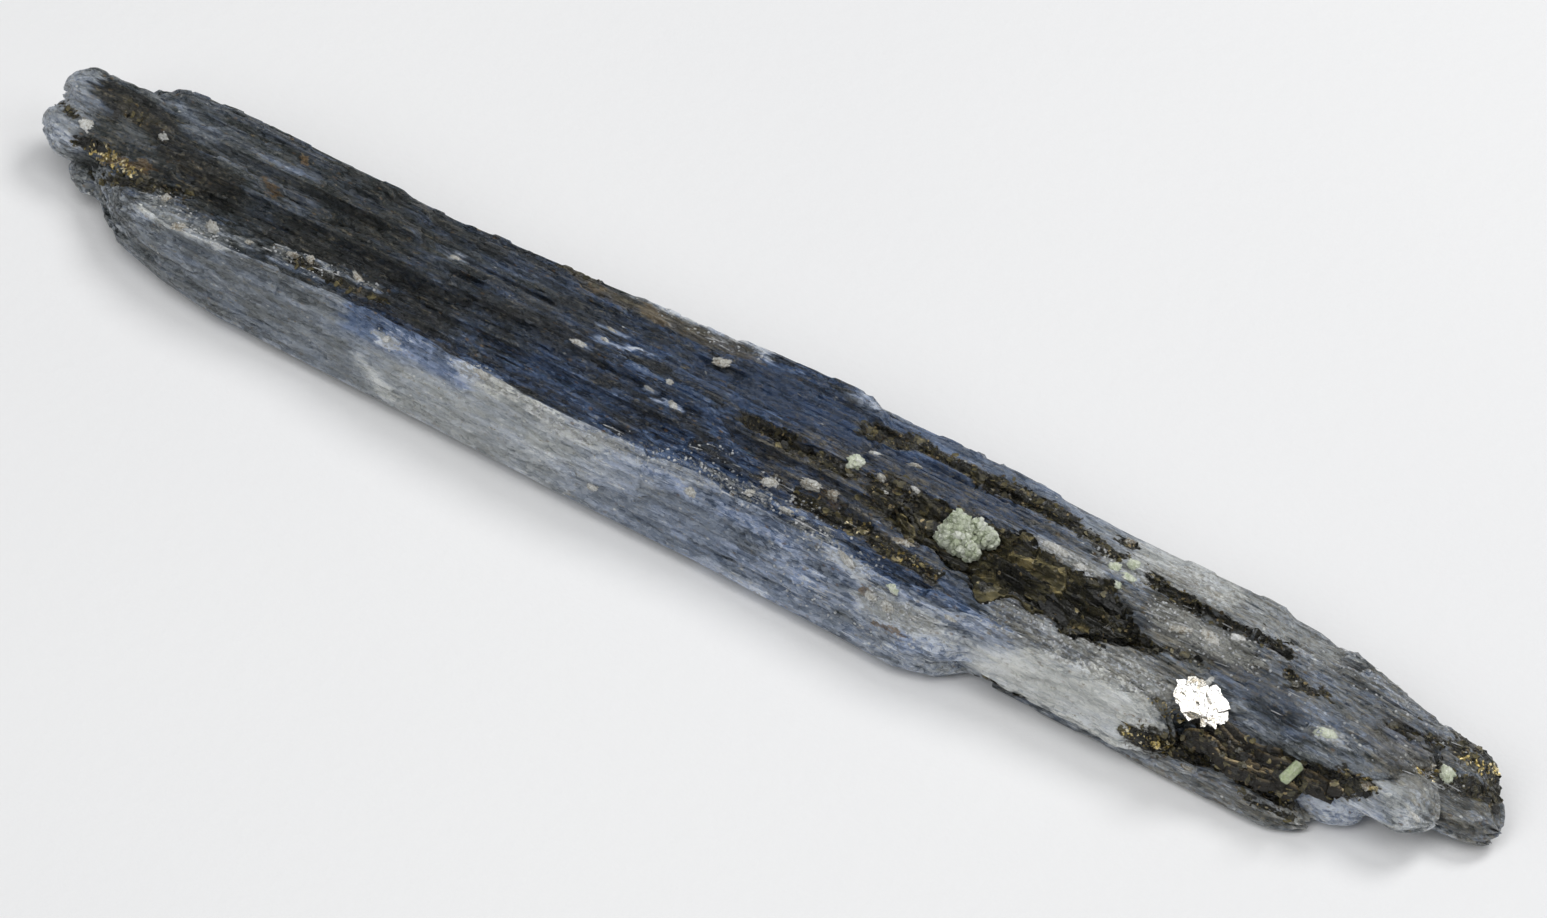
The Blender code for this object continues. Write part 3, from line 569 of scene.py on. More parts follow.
def main_columns(x):
    """The main blade's lines along X: y and z at every x, and how much each belongs to the front face."""
    at = main_values(x)
    back_toe_y = at.back_y - BACK_LEAN
    narrow = back_toe_y - at.toe_y < 2 * TOE_BEVEL + 0.4
    inset = np.where(narrow, 0.1, TOE_BEVEL)
    under_from, under_to = back_toe_y - inset, at.toe_y + inset
    columns = []
    for i in range(BASE_COLUMNS + 1):
        columns.append((under_from + (under_to - under_from) * i / BASE_COLUMNS, at.base_z, ON_BASE))
    ridge_top = top_height(x, at.ridge_y)
    toe_z = np.minimum(at.base_z + TOE_BEVEL, ridge_top - LEAST_FACE)
    columns.append((at.toe_y, toe_z, ON_FRONT))
    for strip, fine, share in face_rows(FRONT_STRIPS):
        y = at.toe_y + (at.ridge_y - at.toe_y) * share - FACE_BULGE * math.sin(math.pi * share)
        y = y + face_relief(x, strip, fine, share, FRONT_RUN)
        for x_from, x_to, low, high, depth in FACE_DENTS:
            y = y + depth * window(x_from, x_to, 1.2, x) * window(low, high, 0.12, share)
        columns.append((y, toe_z + (ridge_top - toe_z) * share, ON_FRONT))
    columns.append((at.ridge_y, ridge_top, ON_RIDGE))
    edge_top = top_height(x, at.back_y)
    for fine in range(FIRST_LAMELLA * FINE_PER_LAMELLA, (LAST_LAMELLA + 1) * FINE_PER_LAMELLA):
        for edge in FINE_EDGES:
            y = (fine + edge) * FINE_WIDTH + GRAIN_DRIFT * x
            before, past = y < at.ridge_y + EDGE_MARGIN, y > at.back_y - EDGE_MARGIN
            y = np.where(before, at.ridge_y, np.where(past, at.back_y, y))
            z = np.where(before, ridge_top, np.where(past, edge_top, top_height(x, y)))
            columns.append((y, z, ON_TOP))
    columns.append((at.back_y, edge_top, ON_TOP))
    back_low_z = np.minimum(at.base_z + BACK_TOE_HEIGHT, edge_top - LEAST_FACE)
    for strip, fine, share in face_rows(BACK_STRIPS):
        y = at.back_y - BACK_LEAN * share + FACE_BULGE * math.sin(math.pi * share)
        y = y + face_relief(x, strip, fine, share, BACK_RUN)
        columns.append((y, edge_top + (back_low_z - edge_top) * share, ON_BACK))
    columns.append((back_toe_y, back_low_z, ON_BACK_TOE))
    return columns


def quads(*corners):
    """The faces whose four corners are in four grids."""
    return np.stack(corners, axis=-1).reshape(-1, 4).tolist()


def tipped(rings):
    """The points of a row of rings, and after them the middles of the first and the last one."""
    return np.vstack([rings.reshape(-1, 3), rings[0].mean(axis=0), rings[-1].mean(axis=0)])


def ring_faces(count, around, start=0):
    """The faces of a tipped row of rings."""
    index = start + np.arange(count * around).reshape(count, around)
    after = np.roll(index, -1, axis=1)
    faces = quads(index[:-1], after[:-1], after[1:], index[1:])
    for ring, tip in ((0, index.size), (-1, index.size + 1)):
        faces += [(int(a), int(b), start + tip) for a, b in zip(index[ring], after[ring])]
    return faces


def put_marks(data, marks):
    """Numbers kept on a mesh's points, for its material and for what grows on it."""
    for name, values in marks.items():
        kind, field = ("FLOAT_VECTOR", "vector") if values.ndim == 2 else ("FLOAT", "value")
        attribute = data.attributes.get(name) or data.attributes.new(name, kind, "POINT")
        attribute.data.foreach_set(field, values.astype(np.float32).ravel())


def take_marks(data, name):
    """A mark's values, one for each point."""
    values = np.zeros(len(data.vertices), np.float32)
    data.attributes[name].data.foreach_get("value", values)
    return values.astype(float)


def points_of(data):
    """A mesh's points in millimetres, in the frame."""
    points = np.zeros(len(data.vertices) * 3, np.float32)
    data.vertices.foreach_get("co", points)
    return points.reshape(-1, 3).astype(float) / MM


def clean_mesh(name, points, faces, marks):
    """A mesh in metres with its doubled points merged and its faces turned outwards."""
    data = bpy.data.meshes.new(name)
    data.from_pydata((np.asarray(points) * MM).tolist(), [], faces)
    put_marks(data, marks)
    mesh = bmesh.new()
    mesh.from_mesh(data)
    bmesh.ops.remove_doubles(mesh, verts=mesh.verts[:], dist=0.002 * MM)
    bmesh.ops.recalc_face_normals(mesh, faces=mesh.faces[:])
    mesh.to_mesh(data)
    mesh.free()
    return data


def shade(data, angle):
    """Shades a mesh smooth, except at edges steeper than an angle in degrees."""
    data.shade_smooth()
    data.set_sharp_from_angle(angle=math.radians(angle))


def main_blade():
    """The main blade's mesh: its fine strips are steps of the surface itself."""
    first_x, last_x = MAIN_STATIONS[0, 0], MAIN_STATIONS[-1, 0]
    even = np.linspace(-1.0, 1.0, MAIN_RINGS)
    even = (1.0 - END_CROWDING) * even + END_CROWDING * np.sin(even * math.pi / 2)
    x = (first_x + last_x) / 2 + (last_x - first_x) / 2 * even
    columns = main_columns(x)
    around = len(columns)
    rings, front = np.zeros((MAIN_RINGS, around, 3)), np.zeros((MAIN_RINGS, around))
    near_end = 1.0 - smooth_step(0.0, END_REACH, np.minimum(x - first_x, last_x - x))
    for j, (y, z, share) in enumerate(columns):
        jag = END_JAG * (chance(j // 4, END_RUN, 2) - 0.5) * near_end
        rings[:, j] = np.stack([x + jag, y, z], axis=1)
        front[:, j] = share
    points = tipped(rings) + CENTRE_SHIFT
    points[-2:, 0] += MAIN_END_SHIFTS
    marks = {"front": np.append(front.ravel(), (0.5, 0.5))}
    return clean_mesh("kyanite", points, ring_faces(MAIN_RINGS, around), marks)


def grown_blade(blade, number):
    """One blade's rings of points. Its broken tip ends fibre by fibre."""
    way = math.copysign(1.0, blade.tip_x - blade.tail_x)
    body = abs(blade.tip_x - blade.tail_x) - blade.tip
    body_rings = int(body / BLADE_RING_STEP)
    along = [np.linspace(-body / blade.tip, 0.0, body_rings), np.linspace(0, 1, TIP_RINGS)[1:]]
    along = np.concatenate(along)
    x = blade.tip_x - way * blade.tip * (1.0 - along)
    size = np.interp(along, *zip(*TIP_PROFILE))
    width, height = blade.back_y - blade.front_y, blade.high_z - blade.low_z
    middle_y = (blade.front_y + blade.back_y) / 2 + GRAIN_DRIFT * (x - blade.tip_x)
    middle_z = (blade.low_z + blade.high_z) / 2 - (1.0 - size) * TIP_DROOP * height
    rings = np.zeros((len(x), BLADE_POINTS, 3))
    for i in range(BLADE_POINTS):
        angle = 2 * math.pi * i / BLADE_POINTS
        way_y, way_z = math.cos(angle), math.sin(angle)
        out = (abs(way_y) ** blade.square + abs(way_z) ** blade.square) ** (-1.0 / blade.square)
        rise = BLADE_STRIP_RISE * strip_height(x, i // BLADE_STRIP, BLADE_RUNS + number, FINE_LENGTH)
        rise = rise + WIDE_STRIP_RISE * strip_height(x, i // WIDE_BLADE_STRIP, WIDE_BLADE_RUNS + number)
        z = out * way_z * height / 2 * size + way_z * rise
        y = out * way_y * width / 2 * size + way_y * rise + BLADE_LEAN * z
        jag = TIP_JAG * blade.tip * chance(i // JAG_STRIP, number, 9) * np.clip(along, 0.0, 1.0)
        rings[:, i] = np.stack([x - way * jag, middle_y + y, np.maximum(middle_z + z, blade.low_z)], axis=1)
    return rings


def grown_blades():
    """All the blades that stand out past the main one, as one mesh."""
    points, faces, marks = [], [], {"pale": [], "blue": [], "wear": [], "own": [], "relief": []}
    start = 0
    for number, blade in enumerate(BLADES.values()):
        rings = grown_blade(blade, number)
        faces += ring_faces(len(rings), BLADE_POINTS, start)
        points.append(tipped(rings))
        start += len(points[-1])
        for name in ("pale", "blue", "wear"):
            marks[name].append(np.full(len(points[-1]), getattr(blade, name)))
        from_tip = np.abs(points[-1][:, 0] - blade.tip_x)
        marks["own"].append(1.0 - smooth_step(0.6 * blade.own, blade.own, from_tip))
        marks["relief"].append(TIP_RELIEF + (1.0 - TIP_RELIEF) * smooth_step(0.2, 1.0, from_tip))
    marks = {name: np.concatenate(values) for name, values in marks.items()}
    return clean_mesh("grown_blades", np.vstack(points) + CENTRE_SHIFT, faces, marks)


def camera_axes():
    """The camera's place in millimetres, its right, its up and the way from its aim to it."""
    back = np.array((
        math.sin(CAMERA_AZIMUTH) * math.cos(CAMERA_ELEVATION),
        -math.cos(CAMERA_AZIMUTH) * math.cos(CAMERA_ELEVATION),
        math.sin(CAMERA_ELEVATION),
    ))
    right = np.array((math.cos(CAMERA_AZIMUTH), math.sin(CAMERA_AZIMUTH), 0.0))
    return CAMERA_AIM + CAMERA_DISTANCE * back, right, np.cross(back, right), back


def picture_place(points):
    """The pixel of the photograph that each point shows at."""
    eye, right, up, back = camera_axes()
    away = points - eye
    scale = CAMERA_LENS / CAMERA_SENSOR * PICTURE[0] / -(away @ back)
    return PICTURE[0] / 2 + scale * (away @ right), PICTURE[1] / 2 - scale * (away @ up)


def noise_at(points, scale, seed=0.0):
    """Smooth noise from about -1 to 1 at points, with a scale for each axis."""
    return np.array([noise.noise(Vector(p)) for p in points * scale + seed])


def cells_at(places):
    """A number from 0 to 1 for the cell that each place is in, the cells being one unit in size."""
    numbers = np.zeros(len(places))
    for i, place in enumerate(places):
        cell = noise.voronoi(Vector(place))[1][0]
        numbers[i] = (12.7 * cell.x + 7.3 * cell.y + 3.1 * cell.z) % 1.0
    return numbers


def grain_coordinates(points):
    """Points as millimetres along the fibres, across them and up."""
    x, y = points[:, 0] - CENTRE_SHIFT[0], points[:, 1] - CENTRE_SHIFT[1]
    return np.stack([x, across_grain(x, y), points[:, 2]], axis=1)


def patch_masks(points):
    """How strong each kind of patch is at points in millimetres."""
    u, v = picture_place(points)
    fibre = grain_coordinates(points)
    along = RAGGED_ALONG * noise_at(fibre, (0.5, 9.0, 9.0))
    across = RAGGED_ACROSS * noise_at(fibre, (1.5, 3.0, 3.0), 7.0)
    u = u + along * math.cos(GRAIN_ANGLE) - across * math.sin(GRAIN_ANGLE)
    v = v + along * math.sin(GRAIN_ANGLE) + across * math.cos(GRAIN_ANGLE)
    masks = {}
    for mask, patches in PATCHES.items():
        total = np.zeros(len(points))
        for u_from, v_from, u_to, v_to, half_width, strength in patches.values():
            run_u, run_v = u_to - u_from, v_to - v_from
            share = ((u - u_from) * run_u + (v - v_from) * run_v) / (run_u * run_u + run_v * run_v)
            share = np.clip(share, 0.0, 1.0)
            away = np.hypot(u - u_from - share * run_u, v - v_from - share * run_v) / half_width
            total += strength * (1.0 - smooth_step(PATCH_CORE, 1.0, away))
        masks[mask] = total
    return masks


def own_tones(fibre, front):
    """How pale and blue the main blade is before its patches, with the front's painted light and the top's
    painted shade.
    """
    x = fibre[:, 0]
    tones = []
    for column in (1, 2):
        top = np.interp(x, TOP_TONES_WITH_PAINTED_SHADE[:, 0], TOP_TONES_WITH_PAINTED_SHADE[:, column])
        face = np.interp(x, FRONT_TONES_WITH_PAINTED_LIGHT[:, 0], FRONT_TONES_WITH_PAINTED_LIGHT[:, column])
        tones.append(top + (face - top) * front)
    return tones


def finish_crystal(data, pale, blue, wear=0.0, relief=1.0):
    """Marks a kyanite mesh with its masks, and roughens it where they say so."""
    points = points_of(data)
    fibre = grain_coordinates(points)
    masks = patch_masks(points)
    strip = np.floor(fibre[:, 1] / FINE_WIDTH) + 7 * np.floor(fibre[:, 2] / 0.3)
    tone = strips_at(fibre[:, 0], strip, TONE_RUN, TONE_LENGTH)
    above = smooth_step(LOWEST_CHIP, LOWEST_CHIP + 0.3, points[:, 2])
    calm = np.clip(masks["calm"], 0.0, 1.0)
    marks = {
        "grain": fibre,
        "pale": pale + masks["pale"] + TONE_PALE * tone * (1.0 - CALM_TONE * calm),
        "blue": np.clip(blue + masks["blue"] + TONE_BLUE * tone, 0.0, 1.0),
        "rust": masks["rust"],
        "stain": masks["stain"],
        "calm": calm,
    }
    for name in ("mica", "chalk", "gold"):
        marks[name] = np.clip(masks[name], 0.0, 1.0) * above
    normals = np.zeros(len(points) * 3, np.float32)
    data.vertices.foreach_get("normal", normals)
    normals = normals.reshape(-1, 3)
    rough = noise_at(fibre, (2.2, 6.0, 6.0), 3.0)
    grains = noise_at(points, (7.0, 7.0, 7.0), 11.0)
    worn = noise_at(points, (0.9, 0.9, 0.9), 5.0)
    chips = cells_at(fibre * CHIP_SCALE)
    out = FIBRE_RISE * rough + wear * worn + CHIP_RISE * (chips - 0.5)
    out += marks["chalk"] * (CHALK_RISE + CHALK_GRAINS * grains)
    out -= marks["mica"] * (MICA_SINK + MICA_GRAINS * grains)
    points += normals * (out * above * relief)[:, None]
    points[:, 2] = np.maximum(points[:, 2], 0.0)
    data.vertices.foreach_set("co", (points * MM).astype(np.float32).ravel())
    put_marks(data, marks)
    data.update()
    shade(data, CRYSTAL_SHARP)


class Wire:
    """A shader node's output, with Python's arithmetic adding Math nodes."""

    def __init__(self, paint, socket):
        self.paint = paint
        self.socket = socket

    def __add__(self, other):
        return self.paint.maths("ADD", self, other)

    __radd__ = __add__

    def __sub__(self, other):
        return self.paint.maths("SUBTRACT", self, other)

    def __rsub__(self, other):
        return self.paint.maths("SUBTRACT", other, self)

    def __mul__(self, other):
        return self.paint.maths("MULTIPLY", self, other)

    __rmul__ = __mul__


class Paint:
    """One material, and the ways to add nodes to it."""

    def __init__(self, name, roughness=0.4, **sockets):
        self.material = bpy.data.materials.new(name)
        self.material.use_nodes = True
        self.tree = self.material.node_tree
        self.shader = self.tree.nodes["Principled BSDF"]
        self.set("Roughness", roughness)
        for socket, value in sockets.items():
            self.set(socket.replace("_", " "), value)

    def set(self, socket, value):
        self.feed(self.shader.inputs[socket], value)

    def feed(self, socket, value):
        """Links a wire to a socket, or sets the socket's own value."""
        if isinstance(value, Wire):
            self.tree.links.new(value.socket, socket)
        elif socket.type == "RGBA" and len(value) == 3:
            socket.default_value = (*value, 1.0)
        else:
            socket.default_value = value

    def node(self, kind, settings=None, sockets=None, output=0):
        """Adds any node: its settings first, then its sockets' values or links by name or number."""
        made = self.tree.nodes.new(kind)
        settings = dict(settings or {})
        stops = settings.pop("stops", None)
        for name, value in settings.items():
            setattr(made, name, value)
        if stops:
            while len(made.color_ramp.elements) < len(stops):
                made.color_ramp.elements.new(0.5)
            for element, (position, colour) in zip(made.color_ramp.elements, stops):
                element.position = position
                element.color = (*colour, 1.0)
        for name, value in (sockets or {}).items():
            self.feed(made.inputs[name], value)
        return Wire(self, made.outputs[output])

    def maths(self, operation, first, second=0.0):
        return self.node("ShaderNodeMath", {"operation": operation}, {0: first, 1: second})

    def mark(self, name, output="Fac"):
        """A mark of the mesh's points."""
        return self.node("ShaderNodeAttribute", {"attribute_name": name}, output=output)

    def place(self):
        """The point in millimetres."""
        spot = self.node("ShaderNodeTexCoord", output="Object")
        return self.stretched(spot, (1 / MM, 1 / MM, 1 / MM))

    def vectors(self, operation, first, second, output="Vector"):
        return self.node("ShaderNodeVectorMath", {"operation": operation}, {0: first, 1: second}, output)

    def stretched(self, spot, scale):
        return self.vectors("MULTIPLY", spot, scale)

    def cloud(self, spot, scale, detail=3.0, roughness=0.6):
        """Noise from 0 to 1 over a stretched place, with more contrast than the plain texture."""
        sockets = {"Vector": self.stretched(spot, scale), "Scale": 1.0}
        sockets.update(Detail=detail, Roughness=roughness)
        return self.ramp(self.node("ShaderNodeTexNoise", None, sockets), 0.3, 0.7, "LINEAR")

    def cells(self, spot, scale, output="Distance"):
        sockets = {"Vector": self.stretched(spot, scale), "Scale": 1.0}
        return self.node("ShaderNodeTexVoronoi", None, sockets, output)

    def larger(self, first, second):
        return self.maths("MAXIMUM", first, second)

    def facets(self, spot, scale):
        """The height of broken faces: each cell is flat, with a tilt of its own."""
        away = self.vectors("SUBTRACT", self.stretched(spot, scale), self.cells(spot, scale, "Position"))
        tilt = self.vectors("SUBTRACT", self.cells(spot, scale, "Color"), (0.5, 0.5, 0.5))
        return self.vectors("DOT_PRODUCT", away, tilt, "Value")

    def dots(self, spot, scale, rarity, more):
        """1 on small dots that lie in some of the cells, and 0 between them."""
        chosen = self.ramp(self.cells(spot, scale, "Color") + more, rarity, rarity + 0.03)
        return chosen * (1.0 - self.ramp(self.cells(spot, scale), 0.16, 0.36))

    def ramp(self, value, low, high, kind="SMOOTHSTEP"):
        """0 under low, 1 over high."""
        return self.node("ShaderNodeMapRange", {"interpolation_type": kind}, {0: value, 1: low, 2: high})

    def mix(self, share, first, second):
        """A colour between two."""
        return self.node("ShaderNodeMix", {"data_type": "RGBA"}, {0: share, 6: first, 7: second}, output=2)

    def colours(self, value, stops):
        return self.node("ShaderNodeValToRGB", {"stops": stops}, {0: value})

    def bumps(self, height, distance, strength=1.0):
        """Small relief, its height and distance in millimetres."""
        sockets = {"Height": height, "Distance": distance * MM, "Strength": strength}
        self.set("Normal", self.node("ShaderNodeBump", None, sockets))


GREY_STOPS = (
    (0.0, (0.004, 0.006, 0.005)),
    (0.2, (0.015, 0.022, 0.022)),
    (0.42, (0.075, 0.086, 0.091)),
    (0.62, (0.235, 0.255, 0.265)),
    (0.8, (0.48, 0.5, 0.49)),
    (1.0, (0.8, 0.81, 0.77)),
)
BLUE_STOPS = (
    (0.0, (0.003, 0.005, 0.01)),
    (0.2, (0.007, 0.019, 0.046)),
    (0.42, (0.028, 0.066, 0.155)),
    (0.62, (0.13, 0.195, 0.33)),
    (0.8, (0.33, 0.41, 0.6)),
    (1.0, (0.7, 0.76, 0.86)),
)
CHALK_COLOURS = ((0.0, (0.3, 0.31, 0.28)), (0.5, (0.54, 0.55, 0.51)), (1.0, (0.86, 0.86, 0.83)))
MICA_COLOURS = (
    (0.0, (0.002, 0.002, 0.0015)),
    (0.5, (0.008, 0.008, 0.005)),
    (0.8, (0.045, 0.04, 0.019)),
    (1.0, (0.24, 0.2, 0.1)),
)
GLINT_COLOUR = (0.46, 0.4, 0.26)
STAIN_COLOURS = ((0.0, (0.014, 0.013, 0.01)), (0.6, (0.115, 0.1, 0.066)), (1.0, (0.34, 0.3, 0.21)))
RUST_COLOURS = ((0.0, (0.03, 0.018, 0.006)), (0.6, (0.17, 0.1, 0.035)), (1.0, (0.42, 0.29, 0.14)))


def swing(first, *others):
    """Textures from 0 to 1 added up around 0, each with its weight."""
    total = first[0] * (first[1] - 0.5)
    for weight, texture in others:
        total = total + weight * (texture - 0.5)
    return total


def kyanite_finish():
    """Fibrous blue to grey kyanite, with chalky, rusty and micaceous patches broken up by its fibres, and
    painted highlights in its colour.
    """
    paint = Paint(
        "kyanite", IOR=1.72, Specular_IOR_Level=0.42, Subsurface_Weight=0.3, Subsurface_Scale=0.25 * MM,
        Subsurface_Radius=(1.0, 1.0, 1.15),
    )
    grain = paint.mark("grain", "Vector")
    long_fibres = paint.cloud(grain, (0.22, 4.5, 4.5), 5.0, 0.65)
    streaks = paint.cloud(grain, (0.9, 8.0, 8.0), 4.0, 0.7)
    hairs = paint.cloud(grain, (3.0, 36.0, 36.0), 2.0)
    blotches = paint.cloud(grain, (0.6, 1.5, 1.5), 4.0)
    specks = paint.cloud(grain, (6.0, 11.0, 11.0), 4.0, 0.75)
    chip_scale, small_scale = (1.4, 5.2, 5.2), (4.6, 11.0, 11.0)
    chips = paint.cells(grain, chip_scale, "Color")
    small_chips = paint.cells(grain, small_scale, "Color")
    # Painted highlights: thin bright lines along the fibres, added into the pale tone.
    painted_highlight_lines = paint.ramp(paint.cloud(grain, (1.7, 15.0, 15.0), 3.0) + 0.35 * (blotches - 0.5), 0.8, 1.0)
    changes = 0.28 * painted_highlight_lines + swing(
        (0.24, long_fibres), (0.22, streaks), (0.14, hairs), (0.26, blotches), (0.26, specks), (0.3, chips),
        (0.3, small_chips),
    )
    unrest = 1.0 - 0.62 * paint.mark("calm")
    pale = paint.mark("pale") + changes * unrest
    blue = paint.mark("blue") + swing((0.7, blotches), (0.4, long_fibres), (0.4, chips)) * unrest
    colour = paint.mix(
        paint.ramp(blue, 0.0, 1.0, "LINEAR"), paint.colours(pale, GREY_STOPS), paint.colours(pale, BLUE_STOPS)
    )
    broken = swing((0.8, specks), (0.4, streaks))
    rust, stain, mica, chalk = (paint.mark(name) for name in ("rust", "stain", "mica", "chalk"))
    more_dots = 0.3 * rust + 0.5 * stain + 0.16 * (blotches - 0.5)
    brown_dots = paint.dots(grain, (3.4, 6.5, 6.5), 0.76, more_dots)
    rusty = paint.larger(0.75 * paint.ramp(rust + broken, 0.4, 0.7), 0.6 * brown_dots * unrest)
    colour = paint.mix(rusty, colour, paint.colours(specks, RUST_COLOURS))
    stained = 0.65 * paint.ramp(paint.larger(mica, stain) + broken, 0.05, 0.5)
    colour = paint.mix(stained, colour, paint.colours(streaks, STAIN_COLOURS))
    micaceous = paint.ramp(mica + 1.2 * broken, 0.42, 0.62)
    glints = paint.dots(grain, (5.0, 8.0, 8.0), 0.74, 0.0)
    mica_colour = paint.mix(glints, paint.colours(specks, MICA_COLOURS), GLINT_COLOUR)
    colour = paint.mix(micaceous, colour, mica_colour)
    chalky = paint.ramp(chalk + swing((1.2, specks), (0.4, streaks)), 0.72, 1.15)
    # Painted highlights: small white sparkle specks, more of them where the chalk mask and the pale tone are
    # high.
    painted_sparkles = paint.dots(grain, (4.5, 7.5, 7.5), 0.92, 0.25 * chalk + 0.2 * (pale - 0.3))
    white = paint.colours(hairs + 0.4 * painted_sparkles, CHALK_COLOURS)
    colour = paint.mix(paint.larger(0.58 * chalky, 0.7 * painted_sparkles), colour, white)
    paint.set("Base Color", colour)
    paint.set("Roughness", 0.14 + 0.28 * small_chips + 0.14 * chalky - 0.04 * micaceous)
    relief = 0.6 * long_fibres + 0.6 * streaks + 0.25 * hairs + 0.3 * chips + 0.3 * small_chips
    relief = relief + 1.6 * paint.facets(grain, chip_scale) + 1.3 * paint.facets(grain, small_scale)
    paint.bumps((0.5 + 0.5 * unrest) * relief + (0.4 + chalky) * specks, 0.07)
    return paint.material


def mica_finish(name, colours, roughness, metallic):
    """Mica sheets, whose tint changes from plate to plate."""
    paint = Paint(name, Metallic=metallic)
    place = paint.place()
    blotches = paint.cloud(place, (3.0, 5.0, 5.0), 4.0)
    sheets = paint.cloud(place, (1.2, 6.0, 34.0), 3.0)
    tint = 0.7 * paint.mark("tint") + 0.3 * blotches + 0.25 * (sheets - 0.5)
    paint.set("Base Color", paint.colours(tint, colours))
    paint.set("Roughness", roughness + 0.22 * (blotches - 0.5))
    paint.bumps(sheets + 0.5 * blotches, 0.02)
    return paint.material


def grain_finish(name, colours, transmission):
    """Sugary grains that let a little light through."""
    paint = Paint(
        name, roughness=0.18, IOR=1.6, Transmission_Weight=transmission, Subsurface_Weight=0.5,
        Subsurface_Scale=0.3 * MM, Subsurface_Radius=(1.0, 1.0, 1.0),
    )
    place = paint.place()
    facets = paint.facets(place, (5.5, 5.5, 5.5))
    blotches = paint.cloud(place, (4.0, 4.0, 4.0), 4.0)
    fine = paint.cloud(place, (16.0, 16.0, 16.0), 2.0)
    tint = 0.6 * paint.mark("tint") + 0.45 * blotches + 0.35 * (fine - 0.5)
    paint.set("Base Color", paint.colours(tint, colours))
    paint.bumps(1.5 * facets + 0.4 * fine, 0.06)
    return paint.material


def paper_finish():
    """Plain pale paper."""
    paint = Paint("pale_floor", roughness=0.85)
    place = paint.place()
    tooth = paint.cloud(place, (1.3, 1.3, 1.3), 5.0)
    cast = paint.cloud(place, (0.02, 0.02, 0.02), 2.0)
    paint.set("Base Color", paint.mix(cast, (0.83, 0.83, 0.835), (0.86, 0.86, 0.86)))
    paint.bumps(tooth, 0.05, 0.25)
    return paint.material


def add_object(name, data):
    made = bpy.data.objects.new(name, data)
    bpy.context.scene.collection.objects.link(made)
    return made


def add_piece(name, data, material, slot, *nodes):
    """Puts a finished mesh in the frame as a piece that rides on the crystal's body."""
    piece = add_object(name, data)
    data.materials.clear()
    data.materials.append(material)
    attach(piece, "root")
    if nodes:
        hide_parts(*nodes)
    return piece


CHIP_INPUTS = {
    "Surface": "Geometry",
    "Chip": "Object",
    "Mark": "String",
    "Chips per square metre": "Float",
    "Smallest": "Float",
    "Largest": "Float",
    "Tilt": "Vector",
    "Lies on the surface": "Bool",
    "Lowest": "Float",
    "Finish": "Material",
    "Seed": "Int",
}
TINT_SEED = 5


def scatter_tree():
    """A tree that grows chips on a surface, as dense as a mark of the surface says."""
    tree = bpy.data.node_groups.new("chips on a surface", "GeometryNodeTree")
    for name, kind in CHIP_INPUTS.items():
        tree.interface.new_socket(name, in_out="INPUT", socket_type="NodeSocket" + kind)
    tree.interface.new_socket("Chips", in_out="OUTPUT", socket_type="NodeSocketGeometry")

    def node(kind, sockets, **settings):
        """Adds a node with its settings and its sockets' values or links, and gives back its outputs."""
        made = tree.nodes.new(kind)
        for name, value in settings.items():
            setattr(made, name, value)
        for name, value in sockets.items():
            if isinstance(value, bpy.types.NodeSocket):
                tree.links.new(value, made.inputs[name])
            else:
                made.inputs[name].default_value = value
        return made.outputs

    def random(sockets, kind="FLOAT", seed=None):
        return node("FunctionNodeRandomValue", {**sockets, "Seed": seed or given["Seed"]}, data_type=kind)

    given = node("NodeGroupInput", {})
    mark = node("GeometryNodeInputNamedAttribute", {"Name": given["Mark"]}, data_type="FLOAT")["Attribute"]
    density = node("ShaderNodeMath", {0: mark, 1: given["Chips per square metre"]}, operation="MULTIPLY")[0]
    height = node("ShaderNodeSeparateXYZ", {0: node("GeometryNodeInputPosition", {})[0]})["Z"]
    high = node("FunctionNodeCompare", {0: height, 1: given["Lowest"]}, operation="GREATER_THAN")[0]
    points = node("GeometryNodeDistributePointsOnFaces", {
        "Mesh": given["Surface"], "Selection": high, "Density": density, "Seed": given["Seed"],
    }, distribute_method="RANDOM")
    back_tilt = node("ShaderNodeVectorMath", {0: given["Tilt"], "Scale": -1.0}, operation="SCALE")[0]
    turn = random({0: back_tilt, 1: given["Tilt"]}, "FLOAT_VECTOR")[0]
    flat = node("GeometryNodeSwitch", {
        "Switch": given["Lies on the surface"], "True": points["Rotation"],
    }, input_type="ROTATION")[0]
    own_turn = node("FunctionNodeEulerToRotation", {0: turn})[0]
    turned = node("FunctionNodeRotateRotation", {0: flat, 1: own_turn}, rotation_space="LOCAL")[0]
    grown = node("GeometryNodeInstanceOnPoints", {
        "Points": points["Points"],
        "Instance": node("GeometryNodeObjectInfo", {"Object": given["Chip"]})["Geometry"],
        "Rotation": turned,
        "Scale": random({2: given["Smallest"], 3: given["Largest"]})[1],
    })[0]
    tinted = node("GeometryNodeStoreNamedAttribute", {
        "Geometry": grown, "Name": "tint", "Value": random({}, seed=TINT_SEED)[1],
    }, data_type="FLOAT", domain="INSTANCE")[0]
    real = node("GeometryNodeRealizeInstances", {0: tinted})[0]
    painted = node("GeometryNodeSetMaterial", {"Geometry": real, "Material": given["Finish"]})[0]
    node("NodeGroupOutput", {0: painted})
    return tree


Scatter = namedtuple("Scatter", "chip mark per_mm2 smallest largest tilt lies seed finish slot")


